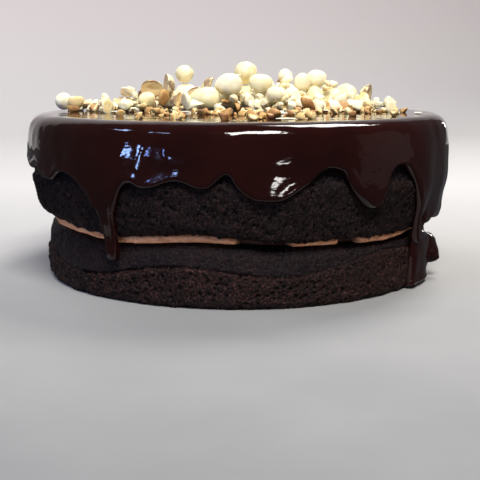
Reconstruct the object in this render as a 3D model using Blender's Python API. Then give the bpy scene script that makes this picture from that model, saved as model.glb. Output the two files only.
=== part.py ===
"""Chocolate layer cake: two sponges, a filling, a poured glaze with drips, and hazelnuts on top.

Metres, +Z up. The origin is the centre of the flat base, and the front of the cake faces -Y.
Angles round the cake start at the front (-Y) and grow towards +X.
"""

import math

import bmesh
import bpy
import numpy as np
from mathutils import Euler, Matrix, Vector
from mathutils.bvhtree import BVHTree

MM = 0.001
SEED = 41

# Gap that keeps touching pieces apart
GAP = 0.3 * MM

# Sponges: baked in a 200 mm tin, shrunk a little, the upper one set a little wider
SPONGE_COLUMNS = 80
FACE_RADIUS = 94 * MM
LOWER_FOOT_RADIUS = 96.6 * MM
LOWER_RADIUS = 99 * MM
LOWER_TOP = 27 * MM
LOWER_LEDGE = 16.2 * MM
FOOT_LIFT = 0.8 * MM
FOOT_FLARE = 1.7 * MM
FOOT_HEIGHT = 3 * MM
SHOULDER_LEAN = 0.6 * MM
SHOULDER_RISE = 1 * MM
TOP_EDGE_INSET = 2.8 * MM
TOP_EDGE_DROP = 1.3 * MM
UPPER_FOOT_RADIUS = 100.6 * MM
UPPER_FOOT_INSET = 1.2 * MM
UPPER_FOOT_RISE = 2.2 * MM
UPPER_WAIST_RADIUS = 102.4 * MM
UPPER_WAIST = 37 * MM
UPPER_RADIUS = 105.7 * MM
UPPER_LEDGE = 53 * MM
UPPER_LEDGE_TURN = 2.5 * MM
UPPER_TOP = 77 * MM
LEDGE_STEP = 0.8 * MM
LEDGE_EDGE = 0.6 * MM
WALL_WAVES = ((0.3 * MM, 3, 20), (0.25 * MM, 7, 55), (0.15 * MM, 13, 10))
LOWER_TOP_WAVES = ((1.1 * MM, 1, -70), (0.9 * MM, 5, -4), (0.5 * MM, 9, -12))
LOWER_LEDGE_WAVES = ((3.5 * MM, 1, 90), (3.0 * MM, 6, -16))
UPPER_LEDGE_WAVES = ((2.0 * MM, 1, 0), (1.4 * MM, 2, 0), (0.4 * MM, 8, -10))

# Baked shoulder of the upper sponge, from under the glaze's hem to the top face
SHOULDER_HEIGHT = 68 * MM
SHOULDER_TURN = 73.4 * MM
CRUST_SHOULDER = (
    (103.9 * MM, 60 * MM),
    (102.4 * MM, SHOULDER_HEIGHT),
    (98.8 * MM, SHOULDER_TURN),
    (FACE_RADIUS, 76.6 * MM),
)

# Filling: buttercream, thin and set back from the wall
FILLING_THICKNESS = 3.4 * MM
FILLING_RADIUS = 96.8 * MM
FILLING_SOFT_EDGE = 0.5 * MM
FILLING_EDGE_LIFT = 0.2 * MM
FILLING_THICKNESS_WAVES = ((0.7 * MM, 2, -60), (0.5 * MM, 7, -14))
FILLING_EDGE_WAVES = ((0.6 * MM, 4, -40), (0.5 * MM, 11, 8))

# Glaze: outer profile as (radius, height) from the flat top down the wall to the base
GLAZE_COLUMNS = 170
HEM_SAMPLES = 3600
CLIMB_WEIGHT = 0.7
GLAZE_TOP = 81.6 * MM
GLAZE_TOP_RADIUS = 98.5 * MM
GLAZE_OUTER = (
    (102.0 * MM, 0),
    (102.4 * MM, 16 * MM),
    (103.6 * MM, 28 * MM),
    (105.6 * MM, 38 * MM),
    (108.2 * MM, 50 * MM),
    (108.3 * MM, 60 * MM),
    (108.0 * MM, 68 * MM),
    (106.4 * MM, 76.6 * MM),
    (103.2 * MM, 80.4 * MM),
    (GLAZE_TOP_RADIUS, GLAZE_TOP),
)

# Glaze: inner profile below the ledge, close to the crumb and across the groove at the filling
GLAZE_CLEARANCE = 0.45 * MM
GLAZE_INNER = (
    (98.0 * MM, 0),
    (99.3 * MM, 14 * MM),
    (99.5 * MM, 24 * MM),
    (101.3 * MM, 30 * MM),
    (102.9 * MM, UPPER_WAIST),
)
GLAZE_EDGE_ROUNDING = 3.2 * MM
THINNEST_SHARE = 0.42
RIM_SHARE = 0.85
EDGE_ROOM = 8 * MM
EDGE_LEVELS = (5.2 * MM, 3.4 * MM, 1.8 * MM)
LEVEL_AT_WAIST = 33 * MM
LEVEL_AT_FOOT = 15 * MM
POOL_SPREAD = 3.4 * MM
POOL_HEIGHT = 3.0 * MM
HEM_HEIGHT = 59.5 * MM
HEM_LIMIT = 1.2 * MM

# Drips of the hem: angle, width to its left, width to its right (degrees), length, bluntness
DRIPS = (
    (-56.2, 4.1, 5.2, 5.5 * MM, 4.9),
    (-32.4, 6.9, 3.4, 19.0 * MM, 3.0),
    (-33.3, 2.0, 1.8, 21.0 * MM, 9),
    (-21.8, 3.2, 5.1, 5.0 * MM, 3.1),
    (-7.7, 4.1, 2.7, 4.5 * MM, 3.0),
    (-2.2, 2.4, 1.8, -5.0 * MM, 2.0),
    (6.9, 8.0, 7.6, 10.8 * MM, 3.2),
    (23.8, 5.5, 2.8, -6.2 * MM, 4.3),
    (36.0, 8.4, 2.4, 17.0 * MM, 3.1),
    (41.7, 5.8, 5.1, -3.2 * MM, 5.6),
    (71.0, 20.0, 14.5, 26.5 * MM, 10),
    (55.5, 2.3, 2.2, 12.5 * MM, 9),
    (60.4, 1.8, 1.8, 2.2 * MM, 3),
    (73.5, 3.4, 3.0, 2.6 * MM, 3),
    (89.0, 3.2, 4.0, 9 * MM, 3),
    (99.5, 3.0, 3.0, 24 * MM, 5),
    (107.0, 3.6, 3.6, -2.4 * MM, 2),
    (115.0, 4.6, 3.4, 14 * MM, 3),
    (126.0, 3.2, 4.2, 5 * MM, 2.4),
    (137.5, 6.5, 3.0, 12 * MM, 2.6),
    (138.6, 2.3, 2.3, 23 * MM, 7),
    (150.0, 4.0, 4.0, -2.8 * MM, 2),
    (159.0, 5.6, 5.2, 11 * MM, 3.4),
    (173.0, 3.4, 3.0, 16 * MM, 3.4),
    (183.0, 3.4, 3.6, -3.0 * MM, 2.2),
    (192.5, 3.2, 6.4, 13 * MM, 2.8),
    (191.8, 2.3, 2.4, 30 * MM, 7),
    (206.0, 5.4, 4.6, 8.5 * MM, 3),
    (219.0, 3.2, 3.4, 18 * MM, 3.6),
    (229.0, 4.2, 4.0, -2.6 * MM, 2),
    (239.5, 6.0, 5.6, 12 * MM, 3.2),
    (252.0, 3.0, 2.8, 21 * MM, 5),
    (263.0, 3.6, 4.0, 6 * MM, 2.4),
    (276.0, 4.4, 4.4, 2.4 * MM, 2.4),
    (291.0, 4.6, 4.0, 3.2 * MM, 2.4),
)

# Run that leaves the hem's narrow neck on the right and spreads over the lower sponge in two lobes
RUN_START = 54.6
RUN_END = 76.6
RUN_COLUMNS = 12
RUN_TOP = 28.5 * MM
RUN_TOP_FALL = 6.5 * MM
RUN_CREASE = 68.2
RUN_CREASE_WIDTH = 1.2
RUN_CREASE_DEPTH = 0.5
RUN_LOBE = 73.4
RUN_LOBE_WIDTH = 3.6
RUN_LOBE_FOOT = 7 * MM
RUN_LOBE_ROUNDING = 3 * MM
RUN_LOBE_SWELL = 4.6 * MM
RUN_SWELL_START = 26 * MM
RUN_SWELL_DEPTH = 16 * MM
RUN_THICKNESS = 2.8 * MM
RUN_SINK = 0.12 * MM
RUN_OUTER_SHARES = (0, 0.08, 0.26, 0.6, 0.88, 1)
RUN_INNER_SHARES = (1, 0.8, 0.45, 0)

# Hazelnuts seen from the front: kind, x, y, length, width, turn (yaw, pitch, roll in degrees)
LOW_NUTS = (
    ("whole", -17, -6, 16.0, 12.2, (176, 4, 0)),
    ("half", -20, 8, 15.5, 12.0, (8, 0, 0)),
    ("whole", -5, 6, 11.0, 10.0, (-60, 12, 0)),
    ("whole", 6, 5, 10.0, 9.2, (-95, -8, 0)),
    ("whole", 16, 8, 11.5, 10.4, (20, 0, 0)),
    ("chunk", 21, -6, 8.0, 6.4, (40, 0, 0)),
    ("whole", 29, 14, 12.0, 10.8, (-80, 65, 0)),
    ("whole", 41, 20, 12.6, 10.8, (-80, 74, 0)),
    ("whole", 61.5, 44, 13.4, 13.0, (-60, 10, 0)),
    ("half", 74, 42, 13.0, 11.4, (60, 58, 10)),
    ("half", -31, 3, 10.6, 8.6, (70, 40, 0)),
    ("whole", -37, 14, 11.0, 10.0, (35, 0, 0)),
    ("whole", -48, 8, 9.6, 9.0, (-40, 30, 0)),
    ("chunk", -56, 2, 8.0, 7.0, (15, 0, 0)),
    ("half", -62, 14, 10.4, 9.0, (-14, 4, -62)),
    ("chunk", -71, 6, 7.6, 6.0, (50, 10, 20)),
    ("whole", -92, 5, 9.4, 8.8, (120, 10, 0)),
    ("half", -83, 16, 8.6, 7.4, (30, 0, -80)),
    ("whole", 4, 18, 13.4, 12.6, (100, 0, 0)),
    ("whole", -28, 27, 14.0, 13.4, (-20, 10, 0)),
    ("whole", 27, 30, 13.6, 13.2, (200, 5, 0)),
    ("whole", 52, 32, 11.6, 10.8, (140, 20, 0)),
    ("whole", -11, 22, 12.0, 11.0, (60, 20, 0)),
)
HIGH_NUTS = (
    ("whole", -29, 27, 10.4, 9.6, (30, 20, 0)),
    ("whole", -5, -1, 15.0, 11.6, (168, -6, 0)),
    ("whole", 4, 17, 13.4, 12.4, (-100, 8, 0)),
    ("whole", 12, 2, 13.0, 9.8, (10, 8, 0)),
    ("whole", 20, -5, 11.6, 7.8, (12, -6, 0)),
    ("whole", 26, 30, 8.6, 8.0, (80, 30, 0)),
    ("whole", 34.5, 18, 10.4, 9.2, (-70, 70, 0)),
    ("whole", 43, 25, 11.6, 10.2, (15, 10, 0)),
    ("half", -38, 6, 12.0, 10.0, (-74, 60, 0)),
    ("half", -46, 15, 12.6, 10.4, (6, 4, 24)),
    ("half", -15, 18, 12.0, 9.0, (64, 46, 30)),
    ("chunk", 52, 31, 6.4, 5.4, (0, 20, 0)),
    ("chunk", -59, 15, 9.6, 7.4, (0, 0, 0)),
)

# Hazelnuts behind those, spread by a seeded rule
REAR_NUTS = 12
REAR_CENTRE = (0, 46 * MM)
REAR_REACH = (58 * MM, 30 * MM)
REAR_SPACING = 13.5 * MM
REAR_KINDS = ("whole", "whole", "half", "whole", "chunk")
REAR_LENGTH = (10.5 * MM, 13.5 * MM)
REAR_ROUNDNESS = 0.9
NUT_SEGMENTS = 8
NUT_RINGS = 5
NUT_FULLNESS = 0.16
CHUNK_CORNERS = 13
DROP_START = 125 * MM
DROP_STEP = 0.2 * MM

# Chopped bits seen from the front, fused to the glaze: x, y, size in millimetres
BITS_SEEN = (
    (16, -62, 7.0),
    (-78, 24, 5.6),
    (79, -26, 5.4),
    (29, -74, 5.2),
    (7, -80, 5.0),
    (66, 6, 5.0),
    (-86, 21, 4.8),
    (-25, -77, 4.2),
    (11, -72, 4.0),
    (59, -4, 4.4),
    (73, 14, 4.4),
    (-46, -8, 4.6),
)

# Chopped bits scattered round the heap and over the rest of the top by a seeded rule
BIT_COUNT = 28
BIT_LARGEST = 5.6 * MM
BIT_SMALLEST = 3.4 * MM
BIT_HEAP = (-4 * MM, -14 * MM)
BIT_SPREAD = (40 * MM, 26 * MM)
BIT_STRAY = 0.35
BIT_RIM = 88 * MM
BIT_FLATNESS = 0.78
BIT_UNEVENNESS = (0.82, 1.12)
BIT_SINK = 0.22
BIT_CLEARANCE = 0.8 * MM

# Flaked nuts that lie on the glaze: x, y, length, width, yaw
FLAKES = (
    (48.5 * MM, -6 * MM, 15 * MM, 3.8 * MM, 4),
    (21 * MM, -85 * MM, 10 * MM, 3.4 * MM, -12),
    (30 * MM, -20 * MM, 15 * MM, 2.8 * MM, -28),
    (24 * MM, -36 * MM, 8.5 * MM, 3 * MM, -6),
    (-60 * MM, -22 * MM, 9 * MM, 3 * MM, -30),
    (-30 * MM, -44 * MM, 8 * MM, 2.6 * MM, 60),
    (89 * MM, -26 * MM, 5 * MM, 3 * MM, 20),
    (-62 * MM, 48 * MM, 11 * MM, 3.4 * MM, 35),
    (56 * MM, 64 * MM, 12 * MM, 3 * MM, -25),
)
FLAKE_THICKNESS = 1.5 * MM
FLAKE_SIDES = 8


def clear_scene():
    """Remove every object of the scene."""
    for item in list(bpy.data.objects):
        bpy.data.objects.remove(item)


def make_material(name, colour, roughness):
    """One Principled material with a plain colour."""
    material = bpy.data.materials.new(name)
    material.use_nodes = True
    shader = material.node_tree.nodes["Principled BSDF"]
    shader.inputs["Base Color"].default_value = (*colour, 1)
    shader.inputs["Roughness"].default_value = roughness
    shader.inputs["Metallic"].default_value = 0
    return material


def add_object(name, mesh, material):
    """Put a mesh into the scene as a named, smooth shaded object."""
    mesh.materials.append(material)
    mesh.shade_smooth()
    mesh.set_sharp_from_angle(angle=math.radians(40))
    item = bpy.data.objects.new(name, mesh)
    bpy.context.scene.collection.objects.link(item)
    return item


def waves(angle, terms):
    """Sum of cosine waves: each term is a height, a count round the cake and the angle of a crest."""
    return sum(height * math.cos(count * (angle - math.radians(crest))) for height, count, crest in terms)


def on_cake(angle, radius, height):
    """The point at an angle from the front."""
    return Vector((radius * math.sin(angle), -radius * math.cos(angle), height))


def lower_top(angle):
    """Height of the lower sponge's top face near its rim."""
    return LOWER_TOP + waves(angle, LOWER_TOP_WAVES)


def filling_top(angle):
    """Height of the filling's top face near its rim."""
    return lower_top(angle) + GAP + FILLING_THICKNESS + waves(angle, FILLING_THICKNESS_WAVES)


def upper_ledge(angle):
    """Height where the upper sponge's open crumb ends and its smooth crust begins."""
    return UPPER_LEDGE + waves(angle, UPPER_LEDGE_WAVES)


def lower_section(angle):
    """Lower sponge from its base to its top: rounded foot, crumb wall, ledge, domed crust."""
    swell = waves(angle, WALL_WAVES)
    top = lower_top(angle)
    ledge = LOWER_LEDGE + waves(angle, LOWER_LEDGE_WAVES)
    shoulder = (ledge + top) / 2
    return (
        (FACE_RADIUS, 0),
        (LOWER_FOOT_RADIUS + swell, FOOT_LIFT),
        (LOWER_FOOT_RADIUS + FOOT_FLARE + swell, FOOT_HEIGHT),
        (LOWER_RADIUS + swell, (FOOT_HEIGHT + ledge) / 2),
        (LOWER_RADIUS + swell, ledge - LEDGE_EDGE),
        (LOWER_RADIUS - LEDGE_STEP + swell, ledge + LEDGE_EDGE),
        (LOWER_RADIUS - LEDGE_STEP - SHOULDER_LEAN + swell, shoulder + SHOULDER_RISE),
        (LOWER_RADIUS - TOP_EDGE_INSET + swell, top - TOP_EDGE_DROP),
        (FACE_RADIUS, top),
    )


def filling_section(angle):
    """Filling from its bottom face round a soft edge to its top face."""
    edge = FILLING_RADIUS + waves(angle, FILLING_EDGE_WAVES)
    bottom = lower_top(angle) + GAP
    top = filling_top(angle)
    return (
        (FACE_RADIUS, bottom),
        (edge - FILLING_SOFT_EDGE, bottom + FILLING_EDGE_LIFT),
        (edge, (bottom + top) / 2),
        (edge - FILLING_SOFT_EDGE, top - FILLING_EDGE_LIFT),
        (FACE_RADIUS, top),
    )


def upper_section(angle):
    """Upper sponge: ragged foot that overhangs the filling, flared wall, ledge, baked shoulder."""
    swell = waves(angle, WALL_WAVES)
    bottom = filling_top(angle) + GAP
    ledge = upper_ledge(angle)
    return (
        (FACE_RADIUS, bottom),
        (UPPER_FOOT_RADIUS - UPPER_FOOT_INSET + swell, bottom + FILLING_EDGE_LIFT),
        (UPPER_FOOT_RADIUS + LEDGE_EDGE + swell, bottom + UPPER_FOOT_RISE),
        (UPPER_WAIST_RADIUS + swell, UPPER_WAIST),
        (UPPER_RADIUS + swell, ledge - UPPER_LEDGE_TURN),
        (UPPER_RADIUS + swell, ledge),
        (UPPER_RADIUS - LEDGE_STEP + swell, ledge + LEDGE_STEP),
        *CRUST_SHOULDER,
    )


def turned_solid(name, section, low_centre, high_centre, material):
    """Close the rings that a section makes round the cake with a vertex at the middle of each face."""
    angles = [math.tau * k / SPONGE_COLUMNS for k in range(SPONGE_COLUMNS)]
    mesh = bpy.data.meshes.new(name)
    shape = bmesh.new()
    columns = [[shape.verts.new(on_cake(a, r, z)) for r, z in section(a)] for a in angles]
    low = shape.verts.new((0, 0, low_centre))
    high = shape.verts.new((0, 0, high_centre))
    for left, right in zip(columns, columns[1:] + columns[:1]):
        shape.faces.new((low, right[0], left[0]))
        shape.faces.new((high, left[-1], right[-1]))
        for k in range(len(left) - 1):
            shape.faces.new((left[k], right[k], right[k + 1], left[k + 1]))
    bmesh.ops.triangulate(shape, faces=shape.faces[:])
    shape.to_mesh(mesh)
    shape.free()
    return add_object(name, mesh, material)


def hem_height(angle):
    """Height of the glaze's lower edge: an even hem drawn down by each drip and up by each crest."""
    height = HEM_HEIGHT
    for centre, left, right, length, bluntness in DRIPS:
        offset = (math.degrees(angle) - centre + 180) % 360 - 180
        share = abs(offset) / (left if offset < 0 else right)
        height -= length / (1 + share**bluntness)
    return max(height, HEM_LIMIT)


def interpolate(height, points):
    """Radius at a height on a profile of (radius, height) points that climbs."""
    return float(np.interp(height, [z for _, z in points], [r for r, _ in points]))


def wall_radius(angle, height):
    """The glaze's inner face: it follows the walls and spans the groove at the filling."""
    ledge = upper_ledge(angle)
    swell = waves(angle, WALL_WAVES)
    outline = [(radius + swell, level) for radius, level in GLAZE_INNER]
    outline.append((UPPER_RADIUS + GAP + swell, ledge - UPPER_LEDGE_TURN))
    outline.append((UPPER_RADIUS + GAP + swell, ledge + LEDGE_STEP))
    return interpolate(height, (*outline, *CRUST_SHOULDER)) + GLAZE_CLEARANCE


def column_angles():
    """Angles of the glaze's columns, at even steps along its hem so that steep drips keep their form."""
    fine = np.linspace(0, math.tau, HEM_SAMPLES + 1)
    heights = np.array([hem_height(a) for a in fine])
    along = np.hypot(np.diff(fine) * UPPER_RADIUS, CLIMB_WEIGHT * np.diff(heights))
    travelled = np.concatenate(([0], np.cumsum(along)))
    steps = np.linspace(0, travelled[-1], GLAZE_COLUMNS + 1)[:-1]
    return np.interp(steps, travelled, fine)


def edge_distance(angle, height, hem_line):
    """Shortest way along the wall from a point to the hem."""
    turn = (hem_line[0] - angle + math.pi) % math.tau - math.pi
    return float(np.min(np.hypot(turn * UPPER_RADIUS, hem_line[1] - height)))


def glaze_radius(angle, height, hem_line):
    """Outer face: the poured profile, rounded off towards the hem and spread where a run pools."""
    inner = wall_radius(angle, height)
    share = min(edge_distance(angle, height, hem_line) / GLAZE_EDGE_ROUNDING, 1)
    rounding = max(math.sqrt(1 - (1 - share) ** 2), THINNEST_SHARE)
    pool = POOL_SPREAD * math.exp(-((height / POOL_HEIGHT) ** 2))
    return inner + (interpolate(height, GLAZE_OUTER) - inner + pool) * rounding


def edge_levels(angle, hem):
    """Heights of the rings above the hem, held at the turns of the wall where a drip is long."""
    room = min((SHOULDER_HEIGHT - hem) / EDGE_ROOM, 1)
    turns = (upper_ledge(angle), LEVEL_AT_WAIST, LEVEL_AT_FOOT)
    return SHOULDER_HEIGHT, *(max(hem + lift * room, turn) for lift, turn in zip(EDGE_LEVELS, turns))


def glaze_column(angle, hem_line):
    """One column: down the outer face to the hem, and up the inner face to the top of the sponge."""
    hem = hem_height(angle)
    levels = edge_levels(angle, hem)
    column = [(r, z) for r, z in reversed(GLAZE_OUTER) if z > SHOULDER_HEIGHT]
    column.extend((glaze_radius(angle, height, hem_line), height) for height in levels)
    rim = wall_radius(angle, hem)
    column.append((rim + (glaze_radius(angle, hem, hem_line) - rim) * RIM_SHARE, hem))
    column.extend((wall_radius(angle, height), height) for height in reversed(levels))
    column.append((wall_radius(angle, SHOULDER_TURN), SHOULDER_TURN))
    column.append((FACE_RADIUS, UPPER_TOP + 2 * GAP))
    return column


def glaze_shell(material):
    """The poured glaze: a cap with drips, closed over the top and against the sponge."""
    line = np.linspace(0, math.tau, HEM_SAMPLES)
    hem_line = (line, np.array([hem_height(a) for a in line]))
    angles = column_angles()
    mesh = bpy.data.meshes.new("glaze")
    shape = bmesh.new()
    columns = [[shape.verts.new(on_cake(a, r, z)) for r, z in glaze_column(a, hem_line)] for a in angles]
    for left, right in zip(columns, columns[1:] + columns[:1]):
        for k in range(len(left) - 1):
            shape.faces.new((left[k + 1], right[k + 1], right[k], left[k]))
    shape.faces.new([column[0] for column in columns])
    shape.faces.new([column[-1] for column in reversed(columns)])
    bmesh.ops.triangulate(shape, faces=shape.faces[:])
    shape.to_mesh(mesh)
    shape.free()
    return add_object("glaze", mesh, material)


def bell(value, centre, width):
    """A smooth hump of height one."""
    return math.exp(-(((value - centre) / width) ** 2))


def ramp(value):
    """A value held between none and one."""
    return min(max(value, 0), 1)


def run_edges(degrees):
    """Heights of the spread run's lower and upper edge: the right lobe ends above the base."""
    fall = RUN_TOP_FALL * (1 - math.cos(math.pi * (degrees - RUN_START) / (RUN_END - RUN_START))) / 2
    lifted = ramp((degrees - RUN_CREASE) / RUN_CREASE_WIDTH)
    foot = RUN_LOBE_FOOT - HEM_LIMIT + RUN_LOBE_ROUNDING * ((degrees - RUN_LOBE) / RUN_LOBE_WIDTH) ** 2
    return HEM_LIMIT + foot * lifted, RUN_TOP - fall


def run_radius(degrees, height, foot, top):
    """Outer face of the spread run: rounded at its edge, creased between its lobes, pooled at its foot."""
    inner = wall_radius(math.radians(degrees), height) - RUN_SINK
    aside = math.radians(min(degrees - RUN_START, RUN_END - degrees)) * LOWER_RADIUS
    share = ramp(min(aside, height - foot, top - height) / GLAZE_EDGE_ROUNDING)
    rounding = max(math.sqrt(1 - (1 - share) ** 2), THINNEST_SHARE)
    depth = ramp((RUN_SWELL_START - height) / RUN_SWELL_DEPTH)
    swell = RUN_LOBE_SWELL * bell(degrees, RUN_LOBE, RUN_LOBE_WIDTH) * depth
    crease = 1 - RUN_CREASE_DEPTH * bell(degrees, RUN_CREASE, RUN_CREASE_WIDTH)
    pool = POOL_SPREAD * bell(height, 0, POOL_HEIGHT)
    return inner + (RUN_THICKNESS * crease + swell + pool) * rounding


def spread_run():
    """The run below the neck as a closed pad against the lower sponge, ready to be fused to the glaze."""
    shape = bmesh.new()
    columns = []
    for k in range(RUN_COLUMNS):
        degrees = RUN_START + (RUN_END - RUN_START) * k / (RUN_COLUMNS - 1)
        angle = math.radians(degrees)
        foot, top = run_edges(degrees)
        outer = [foot + (top - foot) * share for share in RUN_OUTER_SHARES]
        inner = [foot + (top - foot) * share for share in RUN_INNER_SHARES]
        points = [(run_radius(degrees, height, foot, top), height) for height in outer]
        points += [(wall_radius(angle, height) - RUN_SINK, height) for height in inner]
        columns.append([shape.verts.new(on_cake(angle, r, z)) for r, z in points])
    for left, right in zip(columns, columns[1:]):
        for k in range(len(left)):
            after = (k + 1) % len(left)
            shape.faces.new((left[k], right[k], right[after], left[after]))
    shape.faces.new(columns[0])
    shape.faces.new(reversed(columns[-1]))
    bmesh.ops.recalc_face_normals(shape, faces=shape.faces[:])
    bmesh.ops.triangulate(shape, faces=shape.faces[:])
    mesh = bpy.data.meshes.new("run")
    shape.to_mesh(mesh)
    shape.free()
    return bpy.data.objects.new("run", mesh)


def nut_profile(share, length, width):
    """Distance along the axis and radius of a hazelnut: round at its scar, drawn to a small tip."""
    along = -math.cos(math.pi * share)
    radius = math.sin(math.pi * share) * (1 + NUT_FULLNESS * math.cos(math.pi * share))
    return length / 2 * along, width / 2 * radius


def nut_shape(kind, length, width, rng):
    """Mesh data of one nut about its middle: tip along +X, a half's cut face towards -Y."""
    shape = bmesh.new()
    if kind == "chunk":
        for _ in range(CHUNK_CORNERS):
            direction = Vector(rng.normal(size=3)).normalized()
            shape.verts.new(direction * Vector((length, width, width)) / 2)
        hull = bmesh.ops.convex_hull(shape, input=shape.verts[:])
        spare = [v for v in hull["geom_interior"] + hull["geom_unused"] if isinstance(v, bmesh.types.BMVert)]
        bmesh.ops.delete(shape, geom=spare, context="VERTS")
    else:
        turns = NUT_SEGMENTS if kind == "whole" else NUT_SEGMENTS // 2 + 1
        sweep = math.tau / NUT_SEGMENTS
        rings = []
        for ring in range(1, NUT_RINGS + 1):
            along, radius = nut_profile(ring / (NUT_RINGS + 1), length, width)
            rings.append([
                shape.verts.new((along, radius * math.sin(sweep * k), radius * math.cos(sweep * k)))
                for k in range(turns)
            ])
        scar = shape.verts.new((-length / 2, 0, 0))
        tip = shape.verts.new((length / 2, 0, 0))
        for k in range(NUT_SEGMENTS if kind == "whole" else turns):
            following = (k + 1) % turns
            shape.faces.new((scar, rings[0][k], rings[0][following]))
            shape.faces.new((tip, rings[-1][following], rings[-1][k]))
            for lower, upper in zip(rings, rings[1:]):
                shape.faces.new((lower[k], upper[k], upper[following], lower[following]))
    bmesh.ops.recalc_face_normals(shape, faces=shape.faces[:])
    bmesh.ops.triangulate(shape, faces=shape.faces[:])
    return shape


def search_tree(shape, place, grow):
    """Search tree of a mesh moved to its place, grown by a margin about its middle."""
    size = max(v.co.length for v in shape.verts)
    points = [place @ (v.co * (1 + grow / size)) for v in shape.verts]
    index = {v: k for k, v in enumerate(shape.verts)}
    faces = [[index[v] for v in face.verts] for face in shape.faces]
    return BVHTree.FromPolygons(points, faces), min(p.z for p in points)


def drop_nut(shape, turn, x, y, placed):
    """Lower a nut from above until it would touch the glaze or a nut that lies there."""
    height = DROP_START
    place = None
    while True:
        lower = Matrix.Translation((x, y, height)) @ turn
        tree, lowest = search_tree(shape, lower, GAP)
        if lowest < GLAZE_TOP + GAP or any(tree.overlap(other) for other in placed):
            return place
        place = lower
        height -= DROP_STEP


def set_nut(kind, x, y, length, width, turn, placed, counts, material, rng):
    """Make one nut, set it down and name it by its kind."""
    shape = nut_shape(kind, length, width, rng)
    rotation = Euler([math.radians(a) for a in (turn[2], -turn[1], turn[0])], "XYZ").to_matrix().to_4x4()
    place = drop_nut(shape, rotation, x, y, placed)
    placed.append(search_tree(shape, place, 0)[0])
    counts[kind] = counts.get(kind, 0) + 1
    name = f"hazelnut_{kind}_{counts[kind]:02d}"
    mesh = bpy.data.meshes.new(name)
    shape.to_mesh(mesh)
    shape.free()
    mesh.transform(place)
    return add_object(name, mesh, material)


def rear_places(rng, taken):
    """Places for the nuts at the back, each a spacing away from those before it."""
    places = []
    while len(places) < REAR_NUTS:
        x = REAR_CENTRE[0] + REAR_REACH[0] * rng.uniform(-1, 1)
        y = REAR_CENTRE[1] + REAR_REACH[1] * rng.uniform(-1, 1)
        inside = math.hypot(x, y) < GLAZE_TOP_RADIUS - REAR_SPACING
        if inside and all(math.hypot(x - a, y - b) > REAR_SPACING for a, b in taken + places):
            places.append((x, y))
    return places


def lay_nuts(material):
    """The heap of hazelnuts: a first layer on the glaze, the rear ones, then those on top."""
    rng = np.random.default_rng(SEED)
    nuts, placed, counts = [], [], {}
    rear = []
    taken = [(x * MM, y * MM) for _, x, y, *_ in LOW_NUTS]
    for k, (x, y) in enumerate(rear_places(rng, taken)):
        length = rng.uniform(*REAR_LENGTH) / MM
        turn = (rng.uniform(0, 360), rng.uniform(-20, 40), rng.uniform(-70, 30))
        rear.append((REAR_KINDS[k % len(REAR_KINDS)], x / MM, y / MM, length, length * REAR_ROUNDNESS, turn))
    for kind, x, y, length, width, turn in (*LOW_NUTS, *rear, *HIGH_NUTS):
        sizes = (x * MM, y * MM, length * MM, width * MM)
        nuts.append(set_nut(kind, *sizes, turn, placed, counts, material, rng))
    return nuts


def nut_footprints(nuts):
    """Middle and reach of each nut, seen from above."""
    footprints = []
    for nut in nuts:
        corners = np.array([v.co[:2] for v in nut.data.vertices])
        low, high = corners.min(axis=0), corners.max(axis=0)
        footprints.append((*((low + high) / 2), float(max(high - low)) / 2))
    return footprints


def bit_places(footprints):
    """The chopped bits seen from the front, then scattered ones where nothing is in the way."""
    rng = np.random.default_rng(SEED + 1)
    places = [(x * MM, y * MM, size * MM) for x, y, size in BITS_SEEN]
    scattered = 0
    while scattered < BIT_COUNT:
        stray = rng.uniform() < BIT_STRAY
        around = rng.uniform(-BIT_RIM, BIT_RIM, size=2)
        heaped = np.array(BIT_HEAP) + rng.normal(size=2) * BIT_SPREAD
        x, y = around if stray else heaped
        size = BIT_LARGEST + (BIT_SMALLEST - BIT_LARGEST) * scattered / BIT_COUNT
        reach = size / 2 + BIT_CLEARANCE
        clear = all(math.hypot(x - a, y - b) > r + reach for a, b, r in footprints)
        apart = all(math.hypot(x - a, y - b) > s / 2 + reach for a, b, s in places)
        if clear and apart and math.hypot(x, y) < BIT_RIM:
            places.append((x, y, size))
            scattered += 1
    return places


def make_bit(x, y, size, rng):
    """One chopped bit: an uneven lump of twenty faces, a little sunk into the glaze."""
    shape = bmesh.new()
    bmesh.ops.create_icosphere(shape, subdivisions=1, radius=size / 2)
    for vert in shape.verts:
        vert.co *= rng.uniform(*BIT_UNEVENNESS)
        vert.co.z *= BIT_FLATNESS
    turn = Matrix.Rotation(rng.uniform(0, math.tau), 4, "Z")
    height = GLAZE_TOP + size * BIT_FLATNESS * (0.5 - BIT_SINK)
    shape.transform(Matrix.Translation((x, y, height)) @ turn)
    mesh = bpy.data.meshes.new("bit")
    shape.to_mesh(mesh)
    shape.free()
    return bpy.data.objects.new("bit", mesh)


def make_flake(x, y, length, width, yaw):
    """One flake: a thin oval with slim ends, a third of it sunk into the glaze."""
    shape = bmesh.new()
    outline = []
    for k in range(FLAKE_SIDES):
        angle = math.tau * k / FLAKE_SIDES
        outline.append(shape.verts.new((length / 2 * math.cos(angle), width / 2 * math.sin(angle), 0)))
    face = shape.faces.new(outline)
    grown = bmesh.ops.extrude_face_region(shape, geom=[face])
    lifted = [v for v in grown["geom"] if isinstance(v, bmesh.types.BMVert)]
    bmesh.ops.translate(shape, verts=lifted, vec=(0, 0, FLAKE_THICKNESS))
    bmesh.ops.recalc_face_normals(shape, faces=shape.faces[:])
    turn = Matrix.Rotation(math.radians(yaw), 4, "Z")
    shape.transform(Matrix.Translation((x, y, GLAZE_TOP - FLAKE_THICKNESS / 3)) @ turn)
    mesh = bpy.data.meshes.new("flake")
    shape.to_mesh(mesh)
    shape.free()
    return bpy.data.objects.new("flake", mesh)


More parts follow.
